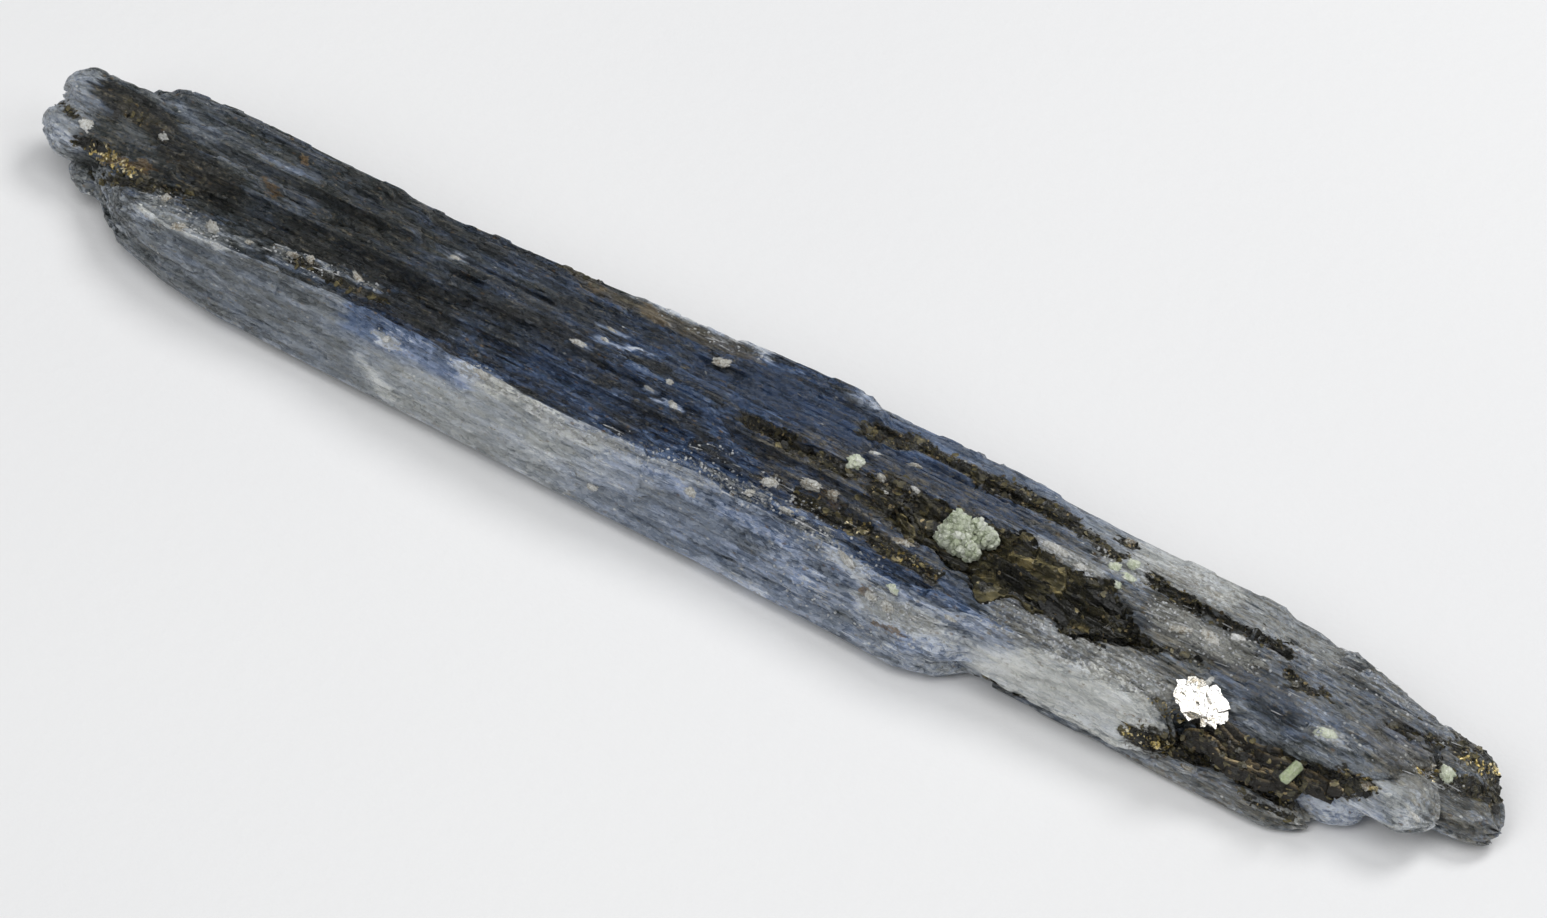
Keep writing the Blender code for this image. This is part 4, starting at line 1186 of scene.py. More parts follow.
def scattered(name, hosts, tree, plan):
    """Chips grown on surfaces, as one plain mesh."""
    parts = []
    for host in hosts:
        carrier = add_object("carrier", host.data)
        grow = carrier.modifiers.new("chips", "NODES")
        grow.node_group = tree
        values = {
            "Chip": plan.chip,
            "Mark": plan.mark,
            "Chips per square metre": plan.per_mm2 / (MM * MM),
            "Smallest": plan.smallest,
            "Largest": plan.largest,
            "Tilt": tuple(math.radians(t) for t in plan.tilt),
            "Lies on the surface": plan.lies,
            "Lowest": LOWEST_CHIP * MM,
            "Finish": plan.finish,
            "Seed": plan.seed,
        }
        for item in tree.interface.items_tree:
            if item.in_out == "INPUT" and item.name in values:
                grow[item.identifier] = values[item.name]
        graph = bpy.context.evaluated_depsgraph_get()
        parts.append(bpy.data.meshes.new_from_object(carrier.evaluated_get(graph), depsgraph=graph))
        bpy.data.objects.remove(carrier)
    joined = bmesh.new()
    for part in parts:
        joined.from_mesh(part)
    for vertex in joined.verts:
        vertex.co.z = max(vertex.co.z, 0.02 * MM)
    data = parts[0]
    joined.to_mesh(data)
    joined.free()
    data.name = name
    return add_piece(name, data, plan.finish, plan.slot)


def chip_object(name, points, faces):
    """A chip one millimetre in size, kept out of the picture."""
    data = bpy.data.meshes.new(name)
    data.from_pydata([tuple(c * MM for c in p) for p in points], [], faces)
    made = add_object(name, data)
    made.hide_render = True
    return made


def plate_faces(sides):
    """The faces of a plate whose lower corners come first and whose upper ones follow."""
    faces = [tuple(range(sides - 1, -1, -1)), tuple(range(sides, 2 * sides))]
    return faces + [(i, (i + 1) % sides, sides + (i + 1) % sides, sides + i) for i in range(sides)]


def moved(faces, first):
    """Faces whose points start at a number other than 0."""
    return [tuple(first + i for i in face) for face in faces]


def plate_chip(sides, thickness, seed):
    """A thin plate of mica with uneven sides."""
    points = []
    for z in (-thickness / 2, thickness / 2):
        for i in range(sides):
            angle = 2 * math.pi * (i + 0.3 * chance(i, seed, 1)) / sides
            reach = 0.35 + 0.2 * chance(i, seed, 2)
            points.append((1.25 * reach * math.cos(angle), reach * math.sin(angle), z))
    return chip_object("plate chip", points, plate_faces(sides))


def grain_chip(seed):
    """A small lump with flat broken faces."""
    mesh = bmesh.new()
    bmesh.ops.create_icosphere(mesh, subdivisions=1, radius=0.5)
    points = [tuple(v.co * (0.75 + 0.5 * chance(v.index, seed, 3))) for v in mesh.verts]
    faces = [tuple(v.index for v in f.verts) for f in mesh.faces]
    mesh.free()
    return chip_object("grain chip", points, faces)


def splinter_chip():
    """A sliver of crystal along X, four-sided and pointed."""
    ring = ((0.035, 0.0), (0.0, 0.028), (-0.035, 0.0), (0.0, -0.028))
    points = [(x, size * y, size * z) for x, size in ((-0.36, 1.0), (0.3, 0.8)) for y, z in ring]
    points += [(-0.5, 0.0, 0.0), (0.5, 0.0, 0.0)]
    faces = [(i, (i + 1) % 4, 4 + (i + 1) % 4, 4 + i) for i in range(4)]
    faces += [((i + 1) % 4, i, 8) for i in range(4)] + [(4 + i, 4 + (i + 1) % 4, 9) for i in range(4)]
    return chip_object("splinter chip", points, faces)


def add_camera():
    eye, right, up, back = camera_axes()
    data = bpy.data.cameras.new("camera")
    data.lens, data.sensor_width, data.sensor_fit = CAMERA_LENS, CAMERA_SENSOR, "HORIZONTAL"
    data.clip_start, data.clip_end = 0.005, 10.0
    camera = add_object("camera", data)
    turn = Matrix((right, up, back)).transposed().to_4x4()
    camera.matrix_world = Matrix.Translation(Vector(eye) * MM) @ turn
    bpy.context.scene.camera = camera


def add_light(name, azimuth, elevation, distance, size, power):
    """A soft light, its azimuth counted as the camera's is, in degrees. Distance and size are in metres."""
    a, e = math.radians(azimuth), math.radians(elevation)
    way = Vector((math.sin(a) * math.cos(e), -math.cos(a) * math.cos(e), math.sin(e)))
    data = bpy.data.lights.new(name, "AREA")
    data.shape, data.size, data.energy = "DISK", size, power
    turn = way.to_track_quat("Z", "Y").to_matrix().to_4x4()
    add_object(name, data).matrix_world = Matrix.Translation(way * distance) @ turn


# Each light's azimuth and elevation, its distance and size, and its power.
LIGHTS = {
    "key": (155.0, 52.0, 0.32, 0.14, 0.4),
    "right fill": (95.0, 40.0, 0.7, 0.4, 0.9),
    "front fill": (-15.0, 42.0, 0.8, 0.6, 1.8),
    "overhead": (20.0, 80.0, 0.8, 0.8, 2.2),
}
FLOOR_HALF = 0.6
SKY_COLOUR, SKY_STRENGTH = (0.93, 0.96, 1.0, 1.0), 0.17


def add_stage():
    """The floor, the sky and the lights."""
    data = bpy.data.meshes.new("floor")
    corners = [(x * FLOOR_HALF, y * FLOOR_HALF, 0.0) for x, y in ((-1, -1), (1, -1), (1, 1), (-1, 1))]
    data.from_pydata(corners, [], [(0, 1, 2, 3)])
    floor = add_object("floor", data)
    floor.location.z = min(CAD_BOX[0][2], 0.0)
    data.materials.append(paper_finish())
    world = bpy.data.worlds.new("studio")
    world.use_nodes = True
    sky = world.node_tree.nodes["Background"].inputs
    sky["Color"].default_value, sky["Strength"].default_value = SKY_COLOUR, SKY_STRENGTH
    bpy.context.scene.world = world
    for name, light in LIGHTS.items():
        add_light(name, *light)
    bpy.context.scene.view_settings.view_transform = "Standard"


def rough_ball(levels, centre, size, lumps, seed, flat_below=None):
    """The points and faces of a lumpy ball. lumps are pairs of frequency and depth."""
    mesh = bmesh.new()
    bmesh.ops.create_icosphere(mesh, subdivisions=levels, radius=1.0)
    points = []
    for vertex in mesh.verts:
        way = vertex.co.normalized()
        reach = 1.0
        for frequency, depth in lumps:
            reach -= depth * min(noise.voronoi(way * frequency + Vector((seed, 0.0, 0.0)))[0][0], 1.0)
        point = Vector((way.x * size[0], way.y * size[1], way.z * size[2])) * reach + Vector(centre)
        if flat_below is not None:
            point.z = max(point.z, flat_below)
        points.append(point)
    faces = [tuple(v.index for v in f.verts) for f in mesh.faces]
    mesh.free()
    return points, faces


def boxed(node):
    """A CAD node's middle and half sizes in millimetres."""
    low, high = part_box(node)
    return (low + high) / 2 / MM, (high - low) / 2 / MM


def plain_mesh(name, points, faces, tint, sharp_angle):
    """A mesh with one tint, or with a tint for each point."""
    data = clean_mesh(name, [tuple(p) for p in points], faces, {"tint": np.full(len(points), tint)})
    shade(data, sharp_angle)
    return data


CRUST_GRID = (190, 84)
CRUST_REACH = 0.9
CRUST_PLATE = (0.95, 0.5)
CRUST_STEP, CRUST_SLOPE = 0.3, 0.95
CRUST_GAP, LEAST_CRUST = 0.09, 0.04
CRUST_LINE = (0.04, 0.06, 0.3)  # the least width of the lines between plates, how it differs, and their tint
OLIVE_PANE = (1012, 608, 34, 12)  # its middle and half sizes, in pixels of the photograph
PANE_TINT, PANE_SQUARE = 0.84, 3


def olive_pane(points):
    """1 on the one smooth olive plate of the dark mica, and 0 off it."""
    u, v = picture_place(points)
    middle_u, middle_v, half_long, half_wide = OLIVE_PANE
    u, v = u - middle_u, v - middle_v
    along = np.abs(u * math.cos(GRAIN_ANGLE) + v * math.sin(GRAIN_ANGLE)) / half_long
    across = np.abs(v * math.cos(GRAIN_ANGLE) - u * math.sin(GRAIN_ANGLE)) / half_wide
    return 1.0 - smooth_step(0.85, 1.05, (along ** PANE_SQUARE + across ** PANE_SQUARE) ** (1 / PANE_SQUARE))


def dark_mica_crust():
    """The dark mica of the hollow: flat plates at many tilts, their edges broken."""
    mid_x, mid_across, half_length, half_width, _ = MICA_HOLLOW
    columns, rows = CRUST_GRID
    along = np.linspace(-1.0, 1.0, columns)
    x = np.repeat(mid_x + along * half_length * CRUST_REACH, rows)
    oval = np.repeat(np.sqrt(np.maximum(1.0 - (along * 0.98) ** 2, 0.0)), rows)
    across = half_width * swell_at(x) * CRUST_REACH * oval * np.tile(np.linspace(-1.0, 1.0, rows), columns)
    y = mid_across + across + GRAIN_DRIFT * x
    top = whole_height(x, y) - CRUST_GAP
    tint = np.zeros(len(x))
    for i in range(len(x)):
        spot = Vector((x[i] / CRUST_PLATE[0], across[i] / CRUST_PLATE[1], 0.0))
        reaches, (cell, *_) = noise.voronoi(spot)
        own = [chance(int(cell.x * 64), int(cell.y * 64), k) for k in (1, 2, 3)]
        slope = (own[1] - 0.5) * (spot.x - cell.x) + (own[2] - 0.5) * (spot.y - cell.y)
        top[i] += -CRUST_STEP * own[0] + CRUST_SLOPE * CRUST_PLATE[1] * slope
        on_line = reaches[1] - reaches[0] < CRUST_LINE[0] + CRUST_LINE[1] * own[2]
        tint[i] = own[1] ** 2 + (CRUST_LINE[2] if on_line else 0.0)
    pane = olive_pane(np.stack([x, y, top], axis=1) + CENTRE_SHIFT)
    top += (top[pane > 0.5].mean() - top) * pane
    tint += (PANE_TINT - tint) * pane
    floor = top_height(x, y) + CRUST_GAP
    top = np.maximum(top, floor + LEAST_CRUST)
    points = np.vstack([np.stack([x, y, z], axis=1) for z in (top, floor)]) + CENTRE_SHIFT
    index = np.arange(len(x)).reshape(columns, rows)
    low = index + len(x)
    faces = quads(index[:-1, :-1], index[1:, :-1], index[1:, 1:], index[:-1, 1:])
    faces += quads(low[:-1, :-1], low[:-1, 1:], low[1:, 1:], low[1:, :-1])
    rim = [*index[:, 0], *index[-1, 1:], *index[-2::-1, -1], *index[0, -2:0:-1]]
    faces += [(a, b, b + len(x), a + len(x)) for a, b in zip(rim, rim[1:] + rim[:1])]
    return clean_mesh("dark_mica_crust", points, faces, {"tint": np.tile(tint, 2)})


TRENCH_X = (17.6, 22.9)
TRENCH_Y = (-3.0, -2.2)
TRENCH_SHEETS = 8
FLAKE_BED = (18.7, 19.5, 0.42)  # where the sheets that carry the flake end, and how much higher they stand
SHEET_RINGS, SHEET_RUN = 130, 71
SHEET_CREST, SHEET_FLOOR = 1.58, 1.1
SHEET_END, SHEET_END_DROP, SHEET_LEAN = 0.45, 0.3, 0.45
SHEET_NARROWS = (19.5, 22.6)  # where the trench narrows to half its width
# A sheet's section: out from its face, down from its crest, and how bright its gold tint is there, a painted
# highlight along the crest and painted shade low down between the sheets.
SHEET_SECTION = (
    (0.0, 0.0, 1.05),
    (0.06, 0.05, 0.85),
    (0.08, 0.2, 0.3),
    (0.1, 1.0, 0.1),
    (-0.03, 1.0, 0.1),
    (-0.02, 0.15, 0.5),
)


def bronze_mica_sheets():
    """Sheets of bronze mica that stand in the trench like the leaves of a book, wavy along the grain."""
    points, faces, tints = [], [], []
    around = len(SHEET_SECTION)
    for sheet in range(TRENCH_SHEETS):
        share = sheet / (TRENCH_SHEETS - 1)
        start = TRENCH_X[0] + 1.1 * chance(sheet, 1, SHEET_RUN)
        end = TRENCH_X[1] - (0.3 + 1.6 * (1.0 - share)) * chance(sheet, 2, SHEET_RUN)
        x = np.linspace(start, end, SHEET_RINGS)
        narrow = 1.0 - 0.5 * smooth_step(*SHEET_NARROWS, x)
        wave = 0.09 * np.sin(2.1 * x + 2.0 * sheet) + 0.05 * np.sin(5.1 * x + 1.3 * sheet)
        y = TRENCH_Y[1] - (TRENCH_Y[1] - TRENCH_Y[0]) * (1.0 - share) * narrow + wave * narrow
        y = y + GRAIN_DRIFT * (x - TRENCH_X[0])
        rough = 0.12 * strip_height(x, sheet, SHEET_RUN + 1, 0.45)
        rough = rough + 0.16 * strip_height(x, sheet, SHEET_RUN + 2, 1.7)
        crest = SHEET_CREST + 0.42 * share + rough + 0.05 * np.sin(1.3 * x + 3.1 * sheet)
        bed_from, bed_to, bed_rise = FLAKE_BED
        crest += bed_rise * (1.0 - smooth_step(bed_from, bed_to, x)) * (1.0 - 0.3 * share)
        ends = np.sqrt(np.clip(np.minimum(x - start, end - x) / SHEET_END, 0.0, 1.0))
        depth = 0.2 + 0.3 * chance(sheet, 3, SHEET_RUN)
        rings = np.zeros((SHEET_RINGS, around, 3))
        for i, (out, down, _) in enumerate(SHEET_SECTION):
            z = np.maximum(crest - SHEET_END_DROP * (1.0 - ends) - down * depth * ends, SHEET_FLOOR)
            rings[:, i] = np.stack([x, y - out - SHEET_LEAN * down * depth, z], axis=1)
        points.append(tipped(rings))
        faces += ring_faces(SHEET_RINGS, around, sheet * (SHEET_RINGS * around + 2))
        bright = 0.5 + 0.5 * chance(sheet, 4, SHEET_RUN)
        # The tint follows the section: painted highlight at the crest, painted shade low down.
        tints += [painted_crest_light * bright for _, _, painted_crest_light in SHEET_SECTION] * SHEET_RINGS + [0.5, 0.5]
    points = np.vstack(points) + CENTRE_SHIFT
    return clean_mesh("bronze_mica_sheets", points, faces, {"tint": np.array(tints)})


FLAKE_PLATES = 40
FLAKE_TILT = 18.0  # down towards +X, in degrees
FLAKE_SPREAD, FLAKE_ODD_SPREAD = 7.0, 46.0  # how far the plates' tilts differ, most and every fourth one
FLAKE_TURN, FLAKE_REACH = 2.4, 0.8  # from one plate to the next, and how far out the last one lies
PLATE_THICKNESS, PLATE_LIFT, PLATE_RUN = 0.02, 0.09, 81
LEAST_PLATE, PLATE_GROWTH, PLATE_WIDTH = 0.16, 0.24, 0.8


def silver_flake():
    """A cluster of thin bright plates, ragged and tilted a little from each other."""
    middle, half = boxed("silver_mica_flake")
    points, faces, tints = [], [], []
    tilt_all = math.radians(FLAKE_TILT)
    for plate in range(FLAKE_PLATES):
        angle, away = FLAKE_TURN * plate, FLAKE_REACH * math.sqrt((plate + 0.5) / FLAKE_PLATES)
        odd = plate % 4 == 3
        spread = math.radians(FLAKE_ODD_SPREAD if odd else FLAKE_SPREAD)
        own = [spread * (chance(plate, axis, PLATE_RUN) - 0.5) for axis in (1, 2)]
        own = Euler(own + [6.28 * chance(plate, 3, PLATE_RUN)]).to_matrix()
        tilt = Matrix.Rotation(tilt_all, 3, "Y") @ own
        off_x, off_y = away * half.x * math.cos(angle), away * half.y * math.sin(angle)
        lift = PLATE_LIFT * (chance(plate, 4, PLATE_RUN) - 0.5) - off_x * math.tan(tilt_all)
        centre = middle + Vector((off_x, off_y, lift))
        corners, first = 5 + plate % 3, len(points)
        for z in (-PLATE_THICKNESS / 2, PLATE_THICKNESS / 2):
            for i in range(corners):
                turn = 2 * math.pi * (i + 0.5 * chance(i, plate, PLATE_RUN + 2)) / corners
                radius = LEAST_PLATE + PLATE_GROWTH * chance(i, plate, PLATE_RUN + 1)
                spot = Vector((radius * math.cos(turn), PLATE_WIDTH * radius * math.sin(turn), z))
                points.append(centre + tilt @ spot)
        faces += moved(plate_faces(corners), first)
        tints += [0.15 if odd else 0.5 + 0.5 * chance(plate, 5, PLATE_RUN)] * (2 * corners)
    return clean_mesh("silver_mica_flake", [tuple(p) for p in points], faces, {"tint": np.array(tints)})


# The cluster's lumps: their place and size as shares of the cluster's box.
CLUSTER_LUMPS = (
    (-0.42, 0.35, 0.52, 0.6, 0.95),
    (0.26, 0.5, 0.48, 0.44, 0.85),
    (0.66, 0.45, 0.3, 0.36, 0.6),
    (-0.45, -0.4, 0.5, 0.52, 0.78),
    (0.0, -0.45, 0.5, 0.5, 0.7),
    (-0.12, 0.05, 0.55, 0.55, 0.9),
    (0.36, -0.55, 0.38, 0.34, 0.55),
)
CLUSTER_ROOT, CLUSTER_GROWTH = 0.06, 1.15
CLUSTER_ROUGHNESS = ((1.8, 0.35), (4.5, 0.22), (11.0, 0.1))  # pairs of frequency and depth


def green_cluster():
    """The pale green grains: lumps grown into each other, flat below."""
    middle, half = boxed("green_grain_cluster")
    floor = middle.z - half.z
    points, faces = [], []
    for number, (x, y, wide, deep, high) in enumerate(CLUSTER_LUMPS):
        centre = (middle.x + x * half.x, middle.y + y * half.y, floor + CLUSTER_ROOT)
        size = (half.x * wide * CLUSTER_GROWTH, half.y * deep * CLUSTER_GROWTH, half.z * 2.0 * high)
        lump, lump_faces = rough_ball(5, centre, size, CLUSTER_ROUGHNESS, 3.7 * number, floor)
        faces += moved(lump_faces, len(points))
        points += lump
    return plain_mesh("green_grain_cluster", points, faces, 0.6, 40)


PRISM_TURN = 82.0
PRISM_HALF_LENGTH, PRISM_RADIUS, PRISM_BEVEL = 0.43, 0.2, 0.12
# How wide the prism is at places along its half lengths.
PRISM_PROFILE = (
    (-1.0, 0.3), (-0.86, 0.82), (-0.8, 1.0), (-0.3, 1.0), (0.3, 0.98), (0.78, 1.0), (0.86, 0.8), (1.0, 0.35),
)


def pale_prism():
    """The small six-sided prism, with its edges a little rounded."""
    middle, _ = boxed("pale_green_prism")
    turn = Matrix.Rotation(math.radians(PRISM_TURN), 3, "Z")
    corners = [i + side for i in range(6) for side in (-PRISM_BEVEL, PRISM_BEVEL)]
    rings = np.zeros((len(PRISM_PROFILE), len(corners), 3))
    for ring, (along, size) in enumerate(PRISM_PROFILE):
        reach = PRISM_RADIUS * size * (1.0 - 0.4 * PRISM_BEVEL)
        for i, corner in enumerate(corners):
            angle = math.pi * corner / 3
            spot = Vector((along * PRISM_HALF_LENGTH, reach * math.cos(angle), reach * math.sin(angle)))
            rings[ring, i] = middle + turn @ spot
    return plain_mesh("pale_green_prism", tipped(rings), ring_faces(len(rings), len(corners)), 0.5, 25)


# Lumps that can be told apart: u, v in the photograph, length and width in pixels, height in mm, tint.
CREAM_LUMPS = {
    "below the rim": (722, 361, 24, 14, 0.2, 0.5),
    "cream patch": (480, 375, 30, 16, 0.1, 0.7),
    "streak": (540, 408, 26, 12, 0.12, 0.7),
    "ridge first": (165, 200, 18, 14, 0.15, 0.6),
    "ridge second": (180, 226, 26, 13, 0.15, 0.6),
    "ridge third": (211, 231, 22, 24, 0.2, 0.8),
    "ridge spot": (250, 241, 14, 8, 0.1, 0.6),
    "ring left": (292, 256, 16, 9, 0.14, 0.5),
    "ring right": (310, 260, 14, 10, 0.14, 0.5),
    "dash": (360, 281, 30, 8, 0.1, 0.5),
    "band spot": (456, 258, 18, 8, 0.1, 0.5),
    "first dash": (579, 344, 22, 7, 0.1, 0.7),
    "second dash": (604, 339, 28, 6, 0.1, 0.7),
    "third dash": (612, 330, 24, 5, 0.08, 0.6),
    "fourth dash": (650, 389, 20, 6, 0.1, 0.8),
    "fifth dash": (673, 407, 20, 9, 0.14, 0.9),
    "sixth dash": (669, 383, 14, 8, 0.1, 0.6),
    "cream lump": (771, 481, 22, 19, 0.3, 0.7),
    "long cream lump": (808, 485, 34, 13, 0.26, 0.6),
    "short cream lump": (796, 499, 16, 8, 0.16, 0.5),
    "granular lump": (832, 497, 20, 14, 0.26, 0.2),
    "brown cream lump": (880, 480, 18, 13, 0.24, 0.4),
    "end of the lump": (884, 492, 14, 9, 0.16, 0.7),
    "white glint": (876, 453, 16, 6, 0.12, 1.0),
    "second white glint": (915, 489, 15, 8, 0.14, 1.0),
    "cream streak": (913, 466, 24, 6, 0.12, 0.7),
    "gold cream lump": (902, 544, 34, 11, 0.22, 0.35),
    "gold lens": (950, 618, 17, 9, 0.14, 0.6),
    "whitish lump": (888, 606, 20, 18, 0.26, 0.8),
    "second whitish lump": (912, 619, 22, 9, 0.16, 0.8),
    "third whitish lump": (872, 596, 20, 12, 0.2, 0.7),
    "grey white patch": (846, 562, 30, 20, 0.16, 0.8),
    "patch below the lens": (786, 512, 22, 12, 0.12, 0.8),
    "yellow speck": (1061, 562, 9, 7, 0.16, 0.5),
    "gold piece": (1128, 541, 18, 8, 0.14, 0.2),
    "white blob": (1056, 552, 44, 13, 0.18, 0.9),
    "end of the blob": (1080, 566, 22, 10, 0.16, 0.8),
    "beige left": (1182, 628, 30, 18, 0.18, 0.5),
    "beige middle": (1208, 640, 34, 22, 0.22, 0.6),
    "beige right": (1238, 640, 22, 12, 0.18, 0.9),
    "nugget of the trench": (1368, 784, 15, 13, 0.3, 0.3),
    "beige of the right end": (1428, 768, 18, 12, 0.24, 0.4),
    "translucent chip": (1415, 815, 22, 8, 0.14, 0.9),
    "left lobe spot": (86, 124, 22, 15, 0.16, 0.9),
    "spot by the hole": (164, 138, 20, 14, 0.18, 0.9),
    "whitish grain": (690, 493, 17, 12, 0.2, 0.9),
    "yellow white grain": (750, 491, 15, 12, 0.16, 0.7),
    "front grain": (592, 487, 18, 10, 0.12, 0.9),
    "front white spot": (387, 338, 12, 11, 0.16, 1.0),
    "beige below the flake": (1185, 768, 20, 9, 0.12, 0.4),
    "tail of the flake": (1208, 682, 9, 18, 0.12, 1.0),
}
GREEN_LUMPS = {
    "round grain": (853, 466, 23, 21, 0.5, 0.75),
    "first green lump": (1113, 568, 18, 13, 0.24, 0.55),
    "second green lump": (1132, 566, 18, 14, 0.26, 0.6),
    "third green lump": (1128, 577, 24, 10, 0.2, 0.6),
    "grey green grain": (1115, 586, 16, 12, 0.2, 0.5),
    "teal grain": (1116, 514, 15, 9, 0.14, 0.7),
    "green white spot": (1326, 734, 30, 12, 0.16, 0.7),
    "green grain of the right end": (1446, 776, 20, 22, 0.3, 0.5),
    "green under the lump bed": (893, 590, 22, 12, 0.2, 0.6),
}
LUMPS = {
    "cream": CREAM_LUMPS,
    "green": GREEN_LUMPS,
}


# A lump's ball has these shares of its length, width and height as half sizes, before it is roughened.
LUMP_SHARES = (0.66, 0.72, 0.8)
LUMP_SUNK, LUMP_TURN, LUMP_FLOOR, LUMP_RUN = 0.26, 50.0, 0.05, 91
LUMP_ROUGHNESS = ((1.2, 0.3), (3.2, 0.26), (8.0, 0.16))


def lump_piece(name, lumps, tree, finish, slot):
    """Lumps set into the surface where the photograph shows them, each on what carries it."""
    eye, right, up, back = camera_axes()
    scale = CAMERA_SENSOR / CAMERA_LENS / PICTURE[0]
    points, faces, tints = [], [], []
    for number, (u, v, long, wide, height, tint) in enumerate(lumps.values()):
        ray = right * (u - PICTURE[0] / 2) * scale - up * (v - PICTURE[1] / 2) * scale - back
        spot, normal, _, reach = tree.ray_cast(Vector(eye), Vector(ray).normalized())
        if spot is None:
            continue
        side = normal.cross(Vector((1.0, GRAIN_DRIFT, 0.0))).normalized()
        long_way = side.cross(normal)
        size = [a * b for a, b in zip(LUMP_SHARES, (long * reach * scale, wide * reach * scale, height))]
        ball, ball_faces = rough_ball(4, (0, 0, 0), size, LUMP_ROUGHNESS, number * 3.1)
        own_turn = math.radians(LUMP_TURN * (chance(number, 1, LUMP_RUN) - 0.5))
        turn = Matrix((long_way, side, normal)).transposed() @ Matrix.Rotation(own_turn, 3, "Z")
        faces += moved(ball_faces, len(points))
        points += [spot + turn @ (p - Vector((0, 0, LUMP_SUNK * height))) for p in ball]
        tints += [tint] * len(ball)
    points = [(p.x, p.y, max(p.z, LUMP_FLOOR)) for p in points]
    return add_piece(name, plain_mesh(name, points, faces, tints, LUMP_SHARP), finish, slot)


# Each finish: how it is made and its colours, then a mica's roughness and metallic share, or a grain's
# transmission.
FINISHES = {
    "dark_mica": (mica_finish, (
        (0.0, (0.002, 0.002, 0.0015)), (0.35, (0.009, 0.009, 0.006)), (0.6, (0.045, 0.04, 0.02)),
        (0.85, (0.14, 0.12, 0.06)), (1.0, (0.32, 0.26, 0.12)),
    ), 0.24, 0.0),
    "bronze_mica": (mica_finish, (
        (0.0, (0.004, 0.003, 0.002)), (0.4, (0.014, 0.011, 0.006)), (0.7, (0.1, 0.074, 0.036)),
        (1.0, (0.46, 0.36, 0.19)),
    ), 0.3, 0.2),
    "silver_mica": (mica_finish, (
        (0.0, (0.3, 0.24, 0.14)), (0.35, (0.8, 0.77, 0.7)), (1.0, (0.97, 0.96, 0.95)),
    ), 0.2, 1.0),
    "gold_mica": (mica_finish, (
        (0.0, (0.16, 0.11, 0.025)), (0.5, (0.6, 0.47, 0.18)), (1.0, (0.95, 0.88, 0.66)),
    ), 0.25, 0.7),
    "green_grains": (grain_finish, (
        (0.0, (0.34, 0.4, 0.24)), (0.5, (0.73, 0.8, 0.59)), (1.0, (0.95, 0.98, 0.86)),
    ), 0.12),
    "cream_grains": (grain_finish, (
        (0.0, (0.08, 0.055, 0.03)), (0.3, (0.27, 0.23, 0.17)), (0.6, (0.52, 0.51, 0.46)),
        (1.0, (0.86, 0.87, 0.85)),
    ), 0.1),
    "white_grains": (grain_finish, (
        (0.0, (0.5, 0.54, 0.58)), (0.4, (0.74, 0.77, 0.8)), (1.0, (0.95, 0.96, 0.97)),
    ), 0.3),
    "pale_prism": (grain_finish, (
        (0.0, (0.5, 0.62, 0.34)), (0.5, (0.72, 0.82, 0.52)), (1.0, (0.92, 0.96, 0.78)),
    ), 0.55),
}


CHIP_SLOTS = {
    "mica_flakes": "dark_mica",
    "bronze_flakes": "bronze_mica",
    "gold_flakes": "silver_mica",
    "white_grains": "green_grains",
    "splinters": "kyanite",
    "green_sugar": "green_grains",
}


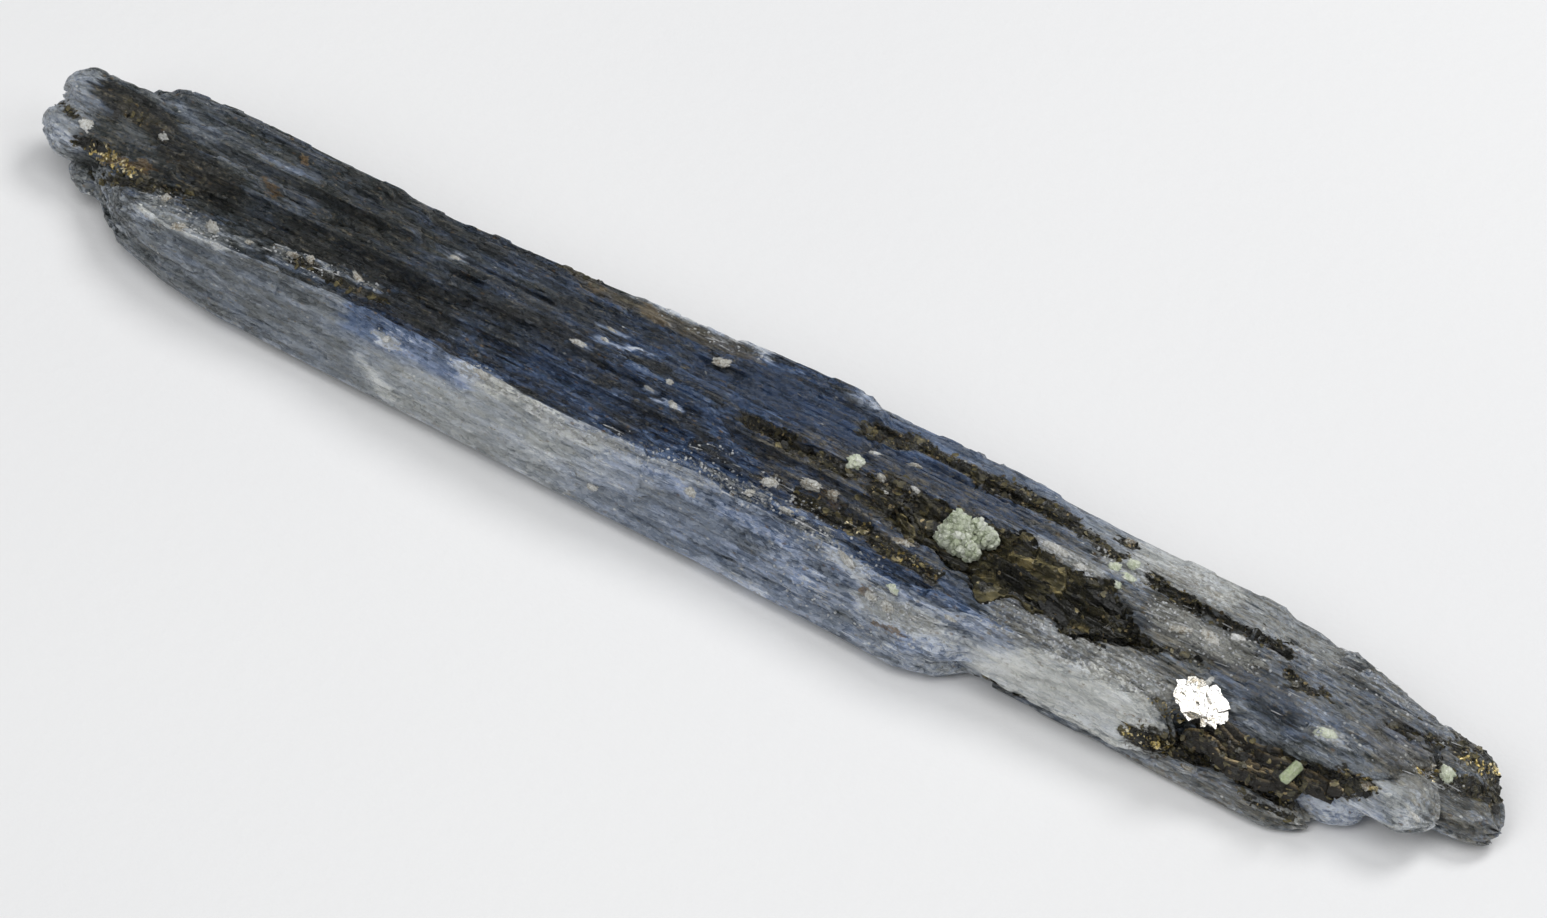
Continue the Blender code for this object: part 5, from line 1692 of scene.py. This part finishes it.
def build():
    add_camera()
    add_stage()
    kyanite = kyanite_finish()
    main = main_blade()
    front = take_marks(main, "front")
    pale, blue = own_tones(grain_coordinates(points_of(main)), front)
    finish_crystal(main, pale, blue)
    crystal = add_piece("kyanite_blade", main, kyanite, "kyanite", "kyanite_crystal")
    grown = grown_blades()
    pale, blue = own_tones(grain_coordinates(points_of(grown)), 0.0)
    own, own_pale, own_blue, wear, relief = (
        take_marks(grown, name) for name in ("own", "pale", "blue", "wear", "relief")
    )
    pale += (own_pale - pale) * own
    blue += (own_blue - blue) * own
    finish_crystal(grown, pale, blue, wear * (ROOT_WEAR + (1.0 - ROOT_WEAR) * own), relief)
    blades = add_piece("grown_blades", grown, kyanite, "kyanite")

    finishes = {name: make(name, *rest) for name, (make, *rest) in FINISHES.items()}

    def standing_for(name, data, finish, node):
        return add_piece(name, data, finishes[finish], finish, node)

    crust = standing_for("dark_mica_plates", dark_mica_crust(), "dark_mica", "dark_mica_crust")
    sheets = standing_for("bronze_mica_sheets", bronze_mica_sheets(), "bronze_mica", "bronze_mica")
    standing_for("silver_mica_plates", silver_flake(), "silver_mica", "silver_mica_flake")
    cluster = standing_for("green_grain_mass", green_cluster(), "green_grains", "green_grain_cluster")
    standing_for("pale_green_crystal", pale_prism(), "pale_prism", "pale_green_prism")

    surfaces = bmesh.new()
    for piece in (crystal, blades, crust):
        surfaces.from_mesh(piece.data)
    surfaces.transform(Matrix.Scale(1 / MM, 4))
    carrier = BVHTree.FromBMesh(surfaces)
    surfaces.free()
    for kind, lumps in LUMPS.items():
        lump_piece(kind + "_lumps", lumps, carrier, finishes[kind + "_grains"], "green_grains")

    tree = scatter_tree()
    plate, big_plate = plate_chip(6, 0.06, 1), plate_chip(7, 0.05, 2)
    grain, splinter = grain_chip(3), splinter_chip()
    for piece, mark, strength in ((crust, "mica", 0.3), (sheets, "mica", 0.35), (cluster, "sugar", 1.0)):
        put_marks(piece.data, {mark: np.full(len(piece.data.vertices), strength)})
    hosts = (crystal, blades)
    more_hosts = (crystal, blades, crust, sheets)
    dark, bronze, gold, frost, green = (
        finishes[name] for name in ("dark_mica", "bronze_mica", "gold_mica", "white_grains", "green_grains")
    )
    any_way = (180, 180, 180)
    plans = {
        "mica_flakes": (more_hosts, big_plate, "mica", 30.0, 0.08, 0.3, (16, 16, 180), True, 1, dark),
        "bronze_flakes": (more_hosts, plate, "mica", 24.0, 0.05, 0.16, (34, 34, 180), True, 2, bronze),
        "gold_flakes": (hosts, plate, "gold", 80.0, 0.06, 0.18, (30, 30, 180), True, 3, gold),
        "white_grains": (hosts, grain, "chalk", 24.0, 0.03, 0.12, any_way, True, 4, frost),
        "splinters": (hosts, splinter, "chalk", 4.0, 0.25, 0.8, (10, 6, 7), False, 5, frost),
        "green_sugar": ((cluster,), grain, "sugar", 48.0, 0.1, 0.36, any_way, True, 6, green),
    }
    for name, (carriers, *plan) in plans.items():
        scattered(name, carriers, tree, Scatter(*plan, CHIP_SLOTS[name]))
    for chip in (plate, big_plate, grain, splinter):
        bpy.data.objects.remove(chip)


build()
